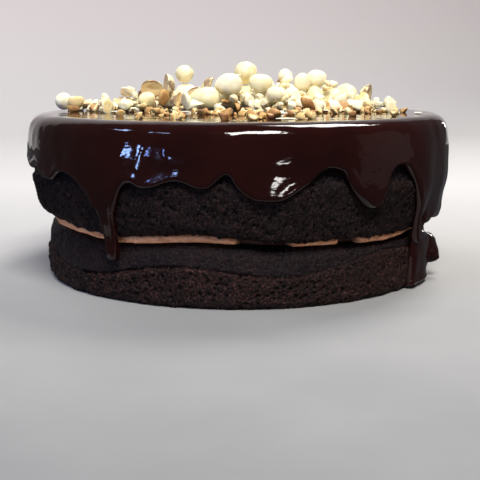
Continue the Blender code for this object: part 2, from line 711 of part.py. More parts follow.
def fuse(target, pieces):
    """Join loose pieces to the glaze with one Boolean union, applied."""
    group = bpy.data.collections.new("fused")
    bpy.context.scene.collection.children.link(group)
    for piece in pieces:
        group.objects.link(piece)
    union = target.modifiers.new("fuse", "BOOLEAN")
    union.operation = "UNION"
    union.operand_type = "COLLECTION"
    union.collection = group
    union.solver = "EXACT"
    view = bpy.context.evaluated_depsgraph_get()
    joined = bpy.data.meshes.new_from_object(target.evaluated_get(view))
    target.modifiers.remove(union)
    target.data = joined
    for piece in pieces:
        bpy.data.objects.remove(piece)
    bpy.data.collections.remove(group)


def chopped_pieces(nuts):
    """The chopped bits and flakes that lie on the glaze beside the nuts."""
    rng = np.random.default_rng(SEED + 2)
    blocked = nut_footprints(nuts) + [(x, y, length / 2) for x, y, length, _, _ in FLAKES]
    pieces = [make_bit(x, y, size, rng) for x, y, size in bit_places(blocked)]
    return pieces + [make_flake(*flake) for flake in FLAKES]


def main():
    """Build the cake from its base up."""
    clear_scene()
    sponge = make_material("sponge", (0.022, 0.011, 0.008), 0.85)
    buttercream = make_material("buttercream", (0.42, 0.21, 0.13), 0.6)
    ganache = make_material("ganache", (0.03, 0.012, 0.008), 0.12)
    kernel = make_material("kernel", (0.8, 0.68, 0.45), 0.5)
    turned_solid("lower_sponge", lower_section, 0, LOWER_TOP, sponge)
    turned_solid("filling", filling_section, LOWER_TOP + GAP, LOWER_TOP + GAP + FILLING_THICKNESS, buttercream)
    turned_solid("upper_sponge", upper_section, LOWER_TOP + 2 * GAP + FILLING_THICKNESS, UPPER_TOP, sponge)
    glaze = glaze_shell(ganache)
    nuts = lay_nuts(kernel)
    fuse(glaze, [spread_run(), *chopped_pieces(nuts)])


main()
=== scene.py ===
import math

import bpy
import numpy as np
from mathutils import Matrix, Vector
from mathutils.bvhtree import BVHTree


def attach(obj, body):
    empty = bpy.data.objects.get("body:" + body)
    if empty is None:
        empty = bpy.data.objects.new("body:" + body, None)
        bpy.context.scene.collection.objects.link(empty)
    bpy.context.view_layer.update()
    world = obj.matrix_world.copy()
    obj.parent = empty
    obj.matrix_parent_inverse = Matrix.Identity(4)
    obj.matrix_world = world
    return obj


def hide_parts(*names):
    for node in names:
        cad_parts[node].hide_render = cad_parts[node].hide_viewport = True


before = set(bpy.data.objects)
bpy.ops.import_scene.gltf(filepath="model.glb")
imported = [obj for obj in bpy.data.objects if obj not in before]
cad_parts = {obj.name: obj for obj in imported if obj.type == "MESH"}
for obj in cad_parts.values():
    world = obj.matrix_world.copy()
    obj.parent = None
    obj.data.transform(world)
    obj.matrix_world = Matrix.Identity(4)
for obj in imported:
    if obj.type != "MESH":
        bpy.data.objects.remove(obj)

# Lengths are in millimetres and become metres where a mesh is made
# Angles round the cake start at the front (-Y) and grow towards +X
mm = 0.001
turn = 2 * math.pi
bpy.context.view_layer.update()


# Meshes from arrays

def makePiece(name, points, quads, triangles, finish, slotName, replaced=(), attributes=None):
    # Puts points in millimetres and faces into a mesh; attributes are one number for each point
    mesh = bpy.data.meshes.new(name)
    quads = np.asarray(quads, np.int32).reshape(-1, 4)
    triangles = np.asarray(triangles, np.int32).reshape(-1, 3)
    loops = np.concatenate([quads.ravel(), triangles.ravel()])
    starts = np.concatenate([np.arange(len(quads)) * 4, len(quads) * 4 + np.arange(len(triangles)) * 3])
    mesh.vertices.add(len(points))
    mesh.vertices.foreach_set("co", (points * mm).astype(np.float32).ravel())
    mesh.loops.add(len(loops))
    mesh.loops.foreach_set("vertex_index", loops.astype(np.int32))
    mesh.polygons.add(len(starts))
    mesh.polygons.foreach_set("loop_start", starts.astype(np.int32))
    for key, values in (attributes or {}).items():
        layer = mesh.attributes.new(key, "FLOAT", "POINT")
        layer.data.foreach_set("value", values.astype(np.float32).ravel())
    mesh.update(calc_edges=True)
    mesh.shade_smooth()
    mesh.materials.append(finish)
    piece = bpy.data.objects.new(name, mesh)
    bpy.context.scene.collection.objects.link(piece)
    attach(piece, "root")
    if replaced:
        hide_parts(*replaced)
    print(f"{name}: {len(quads) * 2 + len(triangles)} triangles")
    return piece


def closeRings(rings, first, last):
    # Joins rings of points, row after row, and closes the ends with a pole each; faces are wound for a
    # path that runs out along the underside and up the outside
    rows, columns = rings.shape[:2]
    points = np.concatenate([rings.reshape(-1, 3), [first, last]])
    here = np.arange(rows * columns).reshape(rows, columns)
    beside = np.roll(here, -1, axis=1)
    quads = np.stack([here[:-1], beside[:-1], beside[1:], here[1:]], axis=-1).reshape(-1, 4)
    pole = rows * columns
    lowFan = np.stack([np.full(columns, pole), beside[0], here[0]], axis=-1)
    highFan = np.stack([np.full(columns, pole + 1), here[-1], beside[-1]], axis=-1)
    return points, quads, np.concatenate([lowFan, highFan])


def closeShape(rings, tip=0):
    # Rings closed with a pole at the middle of the first and of the last, which a tip moves outward
    return closeRings(rings, rings[0].mean(axis=0), rings[-1].mean(axis=0) + np.array([tip, 0, 0]))


def faceOut(points, quads, triangles):
    # Turns every face round where the volume inside them comes out negative
    a, b, c, d = (points[quads[:, k]] for k in range(4))
    e, f, g = (points[triangles[:, k]] for k in range(3))
    volume = sum(np.einsum("ij,ij->", p, np.cross(q, r)) for p, q, r in ((a, b, c), (a, c, d), (e, f, g)))
    return (quads, triangles) if volume > 0 else (quads[:, ::-1], triangles[:, ::-1])


def joinShapes(shapes):
    # One set of arrays from many: each shape is points, quads, triangles and a dictionary of attributes
    offsets = np.cumsum([0] + [len(s[0]) for s in shapes[:-1]])
    points = np.concatenate([s[0] for s in shapes])
    quads = np.concatenate([s[1] + o for s, o in zip(shapes, offsets)])
    triangles = np.concatenate([s[2] + o for s, o in zip(shapes, offsets)])
    attributes = {key: np.concatenate([s[3][key] for s in shapes]) for key in shapes[0][3]}
    return points, quads, triangles, attributes


def stackPoints(*parts):
    # Points from their three parts, each spread over the grid that they make together
    return np.stack(np.broadcast_arrays(*parts), axis=-1)


def onCake(angle, radius, height):
    # The point at an angle, a radius and a height
    return stackPoints(radius * np.sin(angle), -radius * np.cos(angle), height)


def ringGrid(rows, columns, margin=0.5):
    # Shares along an axis, a margin of a row in from its poles, and the angles round it
    share = (np.arange(rows) + margin)[:, None] / (rows + 2 * margin - 1)
    return share, np.linspace(0, turn, columns, endpoint=False)[None, :]


def waves(angle, terms):
    # Sum of cosines: each term is a height, a count round the cake and the angle of a crest
    return sum(height * np.cos(count * (angle - math.radians(crest))) for height, count, crest in terms)


def lumps(points, wavelength, seed, count=10):
    # Smooth noise near -1 to 1: the mean of plane waves in random directions, made larger again
    rng = np.random.default_rng(seed)
    directions = rng.normal(size=(count, points.shape[-1]))
    directions /= np.linalg.norm(directions, axis=1, keepdims=True)
    numbers = turn / (wavelength * rng.uniform(0.7, 1.4, count))
    phases = rng.uniform(0, turn, count)
    total = sum(np.cos(points @ (d * n) + p) for d, n, p in zip(directions, numbers, phases))
    return total / math.sqrt(count)


def manyLumps(points, seed, *terms):
    # Noise of several sizes: each term is a wavelength and its weight, and each has the next seed
    return sum(weight * lumps(points, length, seed + k) for k, (length, weight) in enumerate(terms))


def cellPattern(across, up, size, around, seed):
    # One jittered point in each square cell: the way to the nearest one, and that point's own random number
    rng = np.random.default_rng(seed)
    columns = int(round(around / size))
    low = math.floor(up.min() / size) - 1
    rows = math.ceil(up.max() / size) - low + 2
    jitter = rng.uniform(0.08, 0.92, (rows, columns, 2))
    lots = rng.uniform(size=(rows, columns))
    x = across / around * columns
    y = up / size - low
    cellX = np.floor(x).astype(int)
    cellY = np.floor(y).astype(int)
    nearest = np.full(x.shape, 9.0)
    lot = np.zeros(x.shape)
    for stepY in (-1, 0, 1):
        for stepX in (-1, 0, 1):
            j = np.clip(cellY + stepY, 0, rows - 1)
            i = (cellX + stepX) % columns
            away = np.hypot(cellX + stepX + jitter[j, i, 0] - x, j + jitter[j, i, 1] - y)
            closer = away < nearest
            nearest = np.where(closer, away, nearest)
            lot = np.where(closer, lots[j, i], lot)
    return nearest * size, lot


def blendStep(value, low, high):
    # Smooth step from 0 at low to 1 at high
    share = np.clip((value - low) / (high - low), 0, 1)
    return share * share * (3 - 2 * share)


def smoothRows(values, times):
    # Rounds corners along each column: each row becomes a quarter of both neighbours and half of itself
    for _ in range(times):
        values = np.concatenate([values[:1], (values[:-2] + 2 * values[1:-1] + values[2:]) / 4, values[-1:]])
    return values


def alongSection(section, rows):
    # Rows along a section of points, spread by the mean length of its stretches
    radius = np.stack([np.broadcast_to(r, section["angle"].shape) for r, _ in section["points"]])
    height = np.stack([np.broadcast_to(z, section["angle"].shape) for _, z in section["points"]])
    lengths = np.hypot(np.diff(radius, axis=0), np.diff(height, axis=0)).mean(axis=1)
    way = np.concatenate([[0], np.cumsum(lengths)])
    steps = np.linspace(0, way[-1], rows)
    k = np.clip(np.searchsorted(way, steps, side="right") - 1, 0, len(lengths) - 1)
    t = ((steps - way[k]) / lengths[k])[:, None]
    return radius[k] * (1 - t) + radius[k + 1] * t, height[k] * (1 - t) + height[k + 1] * t


def outwardOf(radius, height):
    # Outward direction of a section, as its parts along the radius and the height
    alongRadius = np.gradient(radius, axis=0)
    alongHeight = np.gradient(height, axis=0)
    length = np.hypot(alongRadius, alongHeight) + 1e-9
    return alongHeight / length, -alongRadius / length


# Finishes

def startFinish(name, roughness, **sockets):
    # A Principled shader with its plain values, and the tree and the place to build a pattern on
    material = bpy.data.materials.new(name)
    material.use_nodes = True
    tree = material.node_tree
    shader = tree.nodes["Principled BSDF"]
    shader.inputs["Roughness"].default_value = roughness
    for socket, value in sockets.items():
        shader.inputs[socket.replace("_", " ")].default_value = value
    place = tree.nodes.new("ShaderNodeTexCoord").outputs["Object"]
    return material, tree, shader, place


def addNoise(tree, place, size, detail=2.0, rough=0.5, stretch=(1, 1, 1)):
    # Noise whose features are about size millimetres, drawn out where stretch is below 1
    mapping = tree.nodes.new("ShaderNodeMapping")
    mapping.inputs["Scale"].default_value = stretch
    tree.links.new(place, mapping.inputs["Vector"])
    noise = tree.nodes.new("ShaderNodeTexNoise")
    noise.inputs["Scale"].default_value = 1 / (size * mm)
    noise.inputs["Detail"].default_value = detail
    noise.inputs["Roughness"].default_value = rough
    tree.links.new(mapping.outputs["Vector"], noise.inputs["Vector"])
    return noise.outputs["Fac"]


def addCells(tree, place, size):
    # Cells of about size millimetres: the way from each cell's middle
    cells = tree.nodes.new("ShaderNodeTexVoronoi")
    cells.inputs["Scale"].default_value = 1 / (size * mm)
    tree.links.new(place, cells.inputs["Vector"])
    return cells.outputs["Distance"]


def addAttribute(tree, name):
    node = tree.nodes.new("ShaderNodeAttribute")
    node.attribute_name = name
    return node.outputs["Fac"]


def addRamp(tree, source, *stops):
    # Colours, or greys where a stop is one number, along the source
    ramp = tree.nodes.new("ShaderNodeValToRGB")
    elements = ramp.color_ramp.elements
    while len(elements) < len(stops):
        elements.new(0.5)
    for element, (position, colour) in zip(elements, stops):
        element.position = position
        element.color = (colour, colour, colour, 1) if isinstance(colour, (int, float)) else (*colour, 1)
    tree.links.new(source, ramp.inputs["Fac"])
    return ramp.outputs["Color"]


def feed(tree, source, socket):
    # Links a source into a socket, or sets the socket to a plain colour or number
    if isinstance(source, tuple):
        socket.default_value = (*source, 1)
    elif isinstance(source, (int, float)):
        socket.default_value = source
    else:
        tree.links.new(source, socket)


def addMix(tree, share, first, second):
    # Colour that goes from the first to the second by a share
    mix = tree.nodes.new("ShaderNodeMix")
    mix.data_type = "RGBA"
    for source, name in ((share, "Factor"), (first, "A"), (second, "B")):
        feed(tree, source, mix.inputs[name])
    return mix.outputs["Result"]


def addMath(tree, operation, first, second):
    node = tree.nodes.new("ShaderNodeMath")
    node.operation = operation
    for source, socket in zip((first, second), node.inputs):
        feed(tree, source, socket)
    return node.outputs["Value"]


def tint(tree, share, strength, colour, other):
    # The colour with another laid over it, by a share times a strength
    return addMix(tree, addMath(tree, "MULTIPLY", share, strength), colour, other)


def closeFinish(tree, shader, colour, roughness):
    feed(tree, colour, shader.inputs["Base Color"])
    feed(tree, roughness, shader.inputs["Roughness"])


def addBump(tree, shader, *layers):
    # Bumps laid over each other: each layer is a height from 0 to 1 and its depth in millimetres
    before = None
    for height, depth in layers:
        bump = tree.nodes.new("ShaderNodeBump")
        bump.inputs["Distance"].default_value = depth * mm
        bump.inputs["Strength"].default_value = 1
        tree.links.new(height, bump.inputs["Height"])
        if before:
            tree.links.new(before, bump.inputs["Normal"])
        before = bump.outputs["Normal"]
    tree.links.new(before, shader.inputs["Normal"])


# Camera, at the photograph's height and angle

cameraView = {
    "place": (1.05, -495.2, 104.6), "downward": 10.45, "lens": 70.52, "sensor": 36, "nearestMetres": 0.01,
}


def makeCamera():
    data = bpy.data.cameras.new("camera")
    data.lens = cameraView["lens"]
    data.sensor_width = cameraView["sensor"]
    data.clip_start = cameraView["nearestMetres"]
    camera = bpy.data.objects.new("camera", data)
    camera.location = Vector(cameraView["place"]) * mm
    camera.rotation_euler = (math.radians(90 - cameraView["downward"]), 0, 0)
    bpy.context.scene.collection.objects.link(camera)
    bpy.context.scene.camera = camera


# Studio: a pale floor, painted darker towards the front as shade, that sweeps up into the backdrop, and soft
# boxes

studio = {
    "front": -2600, "bend": 950, "bendRadius": 420, "bendSteps": 24, "height": 1900, "width": 3400,
    "backdropEnd": 780, "nearFloor": 122, "nearRight": 94, "aimHeight": 75,
    # The floor's colour at the front is dark as painted shade; at the back it is the pale paper
    "floorFront": (0.112, 0.114, 0.122), "floorBack": (0.56, 0.55, 0.55),
    "backdrop": (0.60, 0.555, 0.555), "world": (0.30, 0.30, 0.32), "worldPower": 0.25,
}
softBoxes = (
    # name, degrees round from the front, degrees up, distance, width and height, power in watts, colour,
    # and whether the glaze mirrors it
    ("overheadBack", 142, 58, 1100, (420, 420), 10.0, (1.0, 0.97, 0.92), True),
    ("overheadFront", 12, 50, 1100, (420, 290), 15.0, (1.0, 0.985, 0.93), True),
    ("overheadLeft", -82, 48, 1000, (150, 70), 0.8, (0.42, 0.58, 1.0), True),
    ("overheadCorner", -50, 48, 1000, (150, 60), 0.7, (0.42, 0.58, 1.0), True),
    ("windowPaneOne", -51, 6, 1000, (34, 110), 0.6, (0.30, 0.47, 1.0), True),
    ("windowPaneTwo", -46, 1, 1000, (30, 150), 0.75, (0.34, 0.52, 1.0), True),
    ("windowPaneThree", -39, 4, 1000, (18, 60), 0.12, (0.25, 0.40, 1.0), True),
    ("windowPaneFour", -32, 0, 1000, (38, 56), 0.3, (0.34, 0.52, 1.0), True),
    ("frontGlint", 20, -1, 900, (50, 34), 0.16, (1.0, 0.97, 0.95), True),
    ("rightFill", 78, 10, 1100, (560, 560), 0.16, (1.0, 0.93, 0.86), True),
    ("sideGlint", 148, 4, 1200, (46, 110), 0.4, (1.0, 0.97, 0.95), True),
    ("backLeft", -138, 20, 1400, (900, 600), 2.5, (0.97, 0.98, 1.0), False),
    ("topFill", -60, 66, 1500, (900, 700), 3.5, (1.0, 0.98, 0.92), False),
)
# A box that lights the backdrop
wallWash = {
    "at": (-800, 700, 1400), "aim": (-620, 1370, 420), "size": (1200, 250), "power": 8.0,
    "colour": (1.0, 0.98, 0.98),
}


def addLamp(name, at, aim, size, power, colour):
    data = bpy.data.lights.new(name, "AREA")
    data.shape = "RECTANGLE"
    data.size, data.size_y = size[0] * mm, size[1] * mm
    data.energy = power
    data.color = colour
    lamp = bpy.data.objects.new(name, data)
    lamp.location = Vector(at) * mm
    lamp.rotation_euler = (Vector(aim) - Vector(at)).to_track_quat("-Z", "Y").to_euler()
    bpy.context.scene.collection.objects.link(lamp)
    return lamp


def addSweep(name, x, y, z, keep, finish):
    # A strip of the sweep: its section y, z carried along x, without the squares that keep leaves out
    points = stackPoints(x[None, :], y[:, None], z[:, None]).reshape(-1, 3)
    here = np.arange(len(points)).reshape(len(y), len(x))
    quads = np.stack([here[:-1, :-1], here[:-1, 1:], here[1:, 1:], here[1:, :-1]], axis=-1)[keep]
    mesh = bpy.data.meshes.new(name)
    mesh.from_pydata((points * mm).tolist(), [], quads.tolist())
    mesh.shade_smooth()
    mesh.materials.append(finish)
    strip = bpy.data.objects.new(name, mesh)
    bpy.context.scene.collection.objects.link(strip)
    return strip


def makeStudio():
    finish, tree, shader, place = startFinish("sweepPaper", 0.75)
    parts = tree.nodes.new("ShaderNodeSeparateXYZ")
    tree.links.new(place, parts.inputs["Vector"])
    grain = addMath(tree, "MULTIPLY", addNoise(tree, place, 60, 3), 0.05)
    # The floor's colour runs from dark at the front to pale at the back: painted shade on the front of the
    # floor
    deep = addMath(tree, "ADD", addMath(tree, "MULTIPLY", parts.outputs["Y"], 1.1), grain)
    deep = addMath(tree, "ADD", deep, 0.45)
    floorColour = addRamp(tree, deep, (0.05, studio["floorFront"]), (0.85, studio["floorBack"]))
    high = addMath(tree, "ADD", addMath(tree, "MULTIPLY", parts.outputs["Z"], 2.5), grain)
    colour = addMix(tree, addRamp(tree, high, (0.02, 0.0), (0.5, 1.0)), floorColour, studio["backdrop"])
    tree.links.new(colour, shader.inputs["Base Color"])
    arc = np.linspace(0, math.pi / 2, studio["bendSteps"])
    bend, radius, near, half = studio["bend"], studio["bendRadius"], studio["nearFloor"], studio["width"] / 2
    x = np.array([-half, -near, studio["nearRight"], half])
    y = np.array([studio["front"], -near, near, bend])
    middle = np.zeros((3, 3), bool)
    middle[1, 1] = True
    addSweep("floorNear", x, y, np.zeros(4), middle, finish)
    # Glossy faces mirror the floor under the cake and the backdrop, and not the open floor in front
    addSweep("floor", x, y, np.zeros(4), ~middle, finish).visible_glossy = False
    # The backdrop stops early on the right, where the glaze mirrors the dark of the room
    x = np.array([-half, studio["backdropEnd"]])
    y = np.concatenate([bend + radius * np.sin(arc), [bend + radius]])
    z = np.concatenate([radius * (1 - np.cos(arc)), [studio["height"]]])
    addSweep("backdrop", x, y, z, np.ones((len(y) - 1, 1), bool), finish)
    aim = (0, 0, studio["aimHeight"])
    for name, around, up, distance, size, power, colour, mirrored in softBoxes:
        around, up = math.radians(around), math.radians(up)
        level = distance * math.cos(up)
        at = (level * math.sin(around), -level * math.cos(around), aim[2] + distance * math.sin(up))
        addLamp(name, at, aim, size, power, colour).visible_glossy = mirrored
    addLamp("wallWash", **wallWash).visible_glossy = False
    bpy.context.scene.view_settings.view_transform = "Standard"
    world = bpy.data.worlds.new("studio")
    world.use_nodes = True
    world.node_tree.nodes["Background"].inputs["Color"].default_value = (*studio["world"], 1)
    world.node_tree.nodes["Background"].inputs["Strength"].default_value = studio["worldPower"]
    bpy.context.scene.world = world


# Sponges: an open crumb wall up to a ledge, and a smoother dark crust above it

sponge = {
    "columns": 1280, "rows": 70, "faceRadius": 94, "rowRounding": 2,
    "lowerFoot": 96.6, "lowerRadius": 99, "lowerTop": 27, "lowerLedge": 16.2,
    "upperFoot": 100.6, "upperWaist": 102.4, "upperRadius": 105.7, "upperLedge": 53, "upperTop": 77,
    "step": 0.8, "groove": 1.5, "touchGap": 0.3, "footLift": 0.8, "footFlare": 1.7, "footHeight": 3,
    "ledgeEdge": 0.7, "lean": 0.6, "topInset": 2.8, "topDrop": 1.3, "footInset": 1.2, "footRise": 2.2,
    "waistHeight": 37, "ledgeTurn": 2.5, "shoulder": ((103.9, 60), (102.4, 68), (98.8, 73.4)),
    "rimHeight": 76.6, "grooveShare": 0.55, "grooveWaves": ((0.5, 3, -25), (0.35, 8, 10), (0.25, 17, 0)),
    "wallWaves": ((0.3, 3, 20), (0.25, 7, 55), (0.15, 13, 10)),
    "lowerTopWaves": ((1.1, 1, -70), (0.9, 5, -4), (0.5, 9, -12)),
    "lowerLedgeWaves": ((3.5, 1, 90), (3.0, 6, -16)),
    "upperLedgeWaves": ((2.0, 1, 0), (1.4, 2, 0), (0.4, 8, -10)),
    "poreCells": 2.1, "poreShare": 0.36, "poreDepth": 1.0, "grainCells": 1.15, "grainDepth": 0.6,
    "holeCells": 4.6, "holeShare": 0.10, "lumpDepth": 0.5, "fineDepth": 0.09, "crustShare": 0.5,
    "raggedAround": 620, "raggedCells": 2.4, "raggedHeight": 3.2, "raggedOut": 0.5, "raggedDown": 0.7,
}
filling = {
    "thickness": 3.4, "radius": 96.8, "columns": 1100, "rows": 26,
    "thicknessWaves": ((0.7, 2, -60), (0.5, 7, -14)), "edgeWaves": ((0.6, 4, -40), (0.5, 11, 8)),
    "hidden": ((7, 8), (31, 3.6), (97, 6), (140, 5), (188, 9), (236, 6), (271, 5)), "hiddenDepth": 4.5,
}


def lowerTop(angle):
    return sponge["lowerTop"] + waves(angle, sponge["lowerTopWaves"])


def fillingTop(angle):
    level = lowerTop(angle) + sponge["touchGap"] + filling["thickness"]
    return level + waves(angle, filling["thicknessWaves"])


def lowerLedge(angle):
    return sponge["lowerLedge"] + waves(angle, sponge["lowerLedgeWaves"])


def upperLedge(angle):
    return sponge["upperLedge"] + waves(angle, sponge["upperLedgeWaves"])


def grooveDepth(angle):
    # The crack under the crust comes and goes round the cake
    share = np.clip(sponge["grooveShare"] + waves(angle, sponge["grooveWaves"]), 0, 1)
    return sponge["groove"] * share


def lowerSection(angle):
    # Rounded foot, crumb wall, ledge with its crack, domed crust
    swell = waves(angle, sponge["wallWaves"])
    foot, wall, step = sponge["lowerFoot"] + swell, sponge["lowerRadius"] + swell, sponge["step"]
    top, ledge = lowerTop(angle), lowerLedge(angle)
    groove = grooveDepth(angle)
    return (
        (sponge["faceRadius"], 0 * angle), (foot, sponge["footLift"]),
        (foot + sponge["footFlare"], sponge["footHeight"]), (wall - 0.2, (sponge["footHeight"] + ledge) / 2),
        (wall, ledge - sponge["ledgeEdge"]), (wall - step - groove, ledge), (wall - step, ledge + 1.0),
        (wall - step - sponge["lean"], (ledge + top) / 2 + 1),
        (wall - sponge["topInset"], top - sponge["topDrop"]), (sponge["faceRadius"], top),
    )


def upperSection(angle):
    # Ragged foot over the filling, flared crumb wall, ledge, baked shoulder that the glaze covers
    swell = waves(angle, sponge["wallWaves"])
    bottom, ledge = fillingTop(angle) + sponge["touchGap"], upperLedge(angle)
    foot, waist, wall = (sponge[key] + swell for key in ("upperFoot", "upperWaist", "upperRadius"))
    groove = grooveDepth(angle + 1.3)
    return (
        (sponge["faceRadius"], bottom), (foot - sponge["footInset"], bottom + 0.3),
        (foot + 0.6, bottom + sponge["footRise"]), (waist, sponge["waistHeight"]),
        (wall, ledge - sponge["ledgeTurn"]), (wall - 0.1, ledge - 0.5),
        (wall - sponge["step"] - groove * 0.7, ledge + 0.2), (wall - sponge["step"], ledge + 1.2),
        *sponge["shoulder"], (sponge["faceRadius"], sponge["rimHeight"]),
    )


def crumbRelief(angle, up, crust, seed):
    # Open pores, packed grains and broad lumps; the crust keeps a share of them. Also the share of pores and
    # holes at each point, for their painted shade
    around = turn * sponge["lowerRadius"]
    across = angle / turn * around
    away, lot = cellPattern(across, up, sponge["poreCells"], around, seed)
    size = 0.45 + 0.95 * lot / sponge["poreShare"]
    pore = np.where(lot < sponge["poreShare"], np.clip(1 - (away / size) ** 2, 0, 1), 0)
    away, lot = cellPattern(across, up, sponge["grainCells"], around, seed + 1)
    grain = np.clip(1 - away / 0.72, 0, 1) * (0.5 + lot)
    away, lot = cellPattern(across, up, sponge["holeCells"], around, seed + 2)
    hole = np.where(lot < sponge["holeShare"], np.clip(1 - (away / (0.8 + 6 * lot)) ** 2, 0, 1), 0)
    spread = onCake(angle, sponge["lowerRadius"], up)
    broad = manyLumps(spread, seed + 3, (13, 1), (5.5, 0.6))
    fine = lumps(spread, 1.9, seed + 5, 14)
    relief = sponge["grainDepth"] * grain - sponge["poreDepth"] * (pore + 1.2 * hole)
    relief += sponge["lumpDepth"] * 0.5 * broad + sponge["fineDepth"] * fine
    share = 1 - (1 - sponge["crustShare"]) * crust
    return relief * share, np.clip(pore + hole, 0, 1) * share


def makeSponge(name, node, sectionOf, ledgeOf, lowMiddle, highMiddle, finish, seed):
    angle = np.linspace(0, turn, sponge["columns"], endpoint=False)
    radius, height = alongSection({"angle": angle, "points": sectionOf(angle)}, sponge["rows"])
    radius = smoothRows(radius, sponge["rowRounding"])
    height = smoothRows(height, sponge["rowRounding"])
    outRadius, outHeight = outwardOf(radius, height)
    crust = blendStep(height, ledgeOf(angle) - 0.2, ledgeOf(angle) + 0.8)
    # Relief starts a little way in from the flat faces, which touch the next layer
    shown = blendStep(radius, sponge["faceRadius"] + 0.3, sponge["faceRadius"] + 2.2)
    relief, pit = crumbRelief(angle[None, :] + 0 * height, height, crust, seed)
    # Crumbs along the foot hang lower in some places than in others
    foot = np.clip(1 - (height - height[0]) / sponge["raggedHeight"], 0, 1)
    around, cell = sponge["raggedAround"], sponge["raggedCells"]
    away, lot = cellPattern(angle / turn * around + 0 * height, 0 * height, cell, around, seed + 9)
    ragged = foot * (np.clip(1 - away / 1.7, 0, 1) * (0.4 + lot)) * shown
    radius = radius + relief * outRadius * shown + sponge["raggedOut"] * ragged
    height = height + relief * outHeight * shown - sponge["raggedDown"] * ragged
    height = np.maximum(height, 0)
    rings = onCake(angle, radius, height)
    points, quads, triangles = closeRings(rings, (0, 0, lowMiddle), (0, 0, highMiddle))
    ends = [0, 0]
    # The pit share marks pores and holes, painted darker in the finish as shade
    attributes = {"crust": np.append(crust, ends), "pit": np.append(pit * shown, ends)}
    return makePiece(name, points, quads, triangles, finish, "sponge", (node,), attributes)


def spongeFinish():
    # Near-black cocoa crumb: browner grains lightened on their tops as painted highlight, pores painted darker
    # as shade, moist specks, and a smoother crust with a painted bluish sheen
    material, tree, shader, place = startFinish("cocoaCrumb", 0.7, IOR=1.29)
    pit, crust = addAttribute(tree, "pit"), addAttribute(tree, "crust")
    broad = addNoise(tree, place, 22, 3)
    grains = addNoise(tree, place, 0.9, 4, 0.65)
    # Both ramps follow the grain noise, which is also the bump's height: their light top stops are partly the
    # crumb's own speckle and partly painted highlight on the grain tops
    crumb = addRamp(
        tree, grains, (0.36, (0.0016, 0.0006, 0.0008)), (0.54, (0.0060, 0.0022, 0.0024)),
        (0.70, (0.062, 0.027, 0.026)),
    )
    browner = addRamp(
        tree, grains, (0.36, (0.0045, 0.0013, 0.0012)), (0.54, (0.0200, 0.0060, 0.0050)),
        (0.70, (0.150, 0.062, 0.048)),
    )
    parts = tree.nodes.new("ShaderNodeSeparateXYZ")
    tree.links.new(place, parts.inputs["Vector"])
    lower = addRamp(tree, addMath(tree, "MULTIPLY", parts.outputs["Z"], 10), (0.28, 1.0), (0.36, 0.2))
    colour = tint(tree, addRamp(tree, broad, (0.38, 0.3), (0.62, 1.0)), lower, crumb, browner)
    # The crust's colour is darker, as baked crust is, and its blue cast is a painted sheen of the bluish
    # window light
    colour = tint(tree, crust, 0.55, colour, (0.0034, 0.0022, 0.0042))
    # Pores and holes are painted darker: painted shade in the hollows
    colour = tint(tree, pit, 0.8, colour, (0.0025, 0.0012, 0.0012))
    # Moist facets: small spots far smoother than the rest
    spots = addNoise(tree, place, 0.6, 2)
    dry = addRamp(tree, spots, (0.42, 0.15), (0.48, 0.66), (0.7, 0.95))
    baked = addRamp(tree, spots, (0.4, 0.26), (0.6, 0.5))
    closeFinish(tree, shader, colour, addMix(tree, crust, dry, baked))
    addBump(tree, shader, (grains, 0.85), (addNoise(tree, place, 0.32, 3, 0.6), 0.25))
    return material


def makeFilling(finish):
    # Smeared edge that stands back from the walls, further back where crumb closes over it
    angle = np.linspace(0, turn, filling["columns"], endpoint=False)
    bottom, top = lowerTop(angle) + sponge["touchGap"], fillingTop(angle)
    edge = filling["radius"] + waves(angle, filling["edgeWaves"])
    degrees = (np.degrees(angle) + 180) % 360 - 180
    closed = 0 * angle
    for middle, half in filling["hidden"]:
        away = np.abs((degrees - middle + 180) % 360 - 180)
        closed = np.maximum(closed, 1 - blendStep(away, half * 0.75, half))
    edge = edge - filling["hiddenDepth"] * closed
    around = turn * filling["radius"]
    inner = sponge["faceRadius"] - 4
    section = (
        (inner, bottom), (edge - 0.7, bottom + 0.15), (edge, bottom * 0.7 + top * 0.3),
        (edge + 0.1, bottom * 0.35 + top * 0.65), (edge - 0.7, top - 0.1), (inner, top),
    )
    radius, height = alongSection({"angle": angle, "points": section}, filling["rows"])
    radius, height = smoothRows(radius, 2), smoothRows(height, 2)
    spread = onCake(angle, edge, height)
    away, lot = cellPattern(angle / turn * around + 0 * height, height * 1.6, 2.6, around, 301)
    torn = np.clip(1 - away / 1.6, 0, 1) * lot
    rough = 0.22 * lumps(spread, 6, 302) + 0.16 * lumps(spread, 2.2, 303, 14) - 0.5 * torn
    shown = blendStep(radius, inner + 0.5, inner + 2)
    rings, base = onCake(angle, radius + rough * shown, height), sponge["lowerTop"] + sponge["touchGap"]
    points, quads, triangles = closeRings(rings, (0, 0, base), (0, 0, base + filling["thickness"]))
    attributes = {"torn": np.append(torn * shown, [0, 0]), "closed": np.append(closed + 0 * height, [0, 0])}
    shape = points, quads, triangles
    return makePiece("fillingLayer", *shape, finish, "buttercream", ("filling",), attributes)


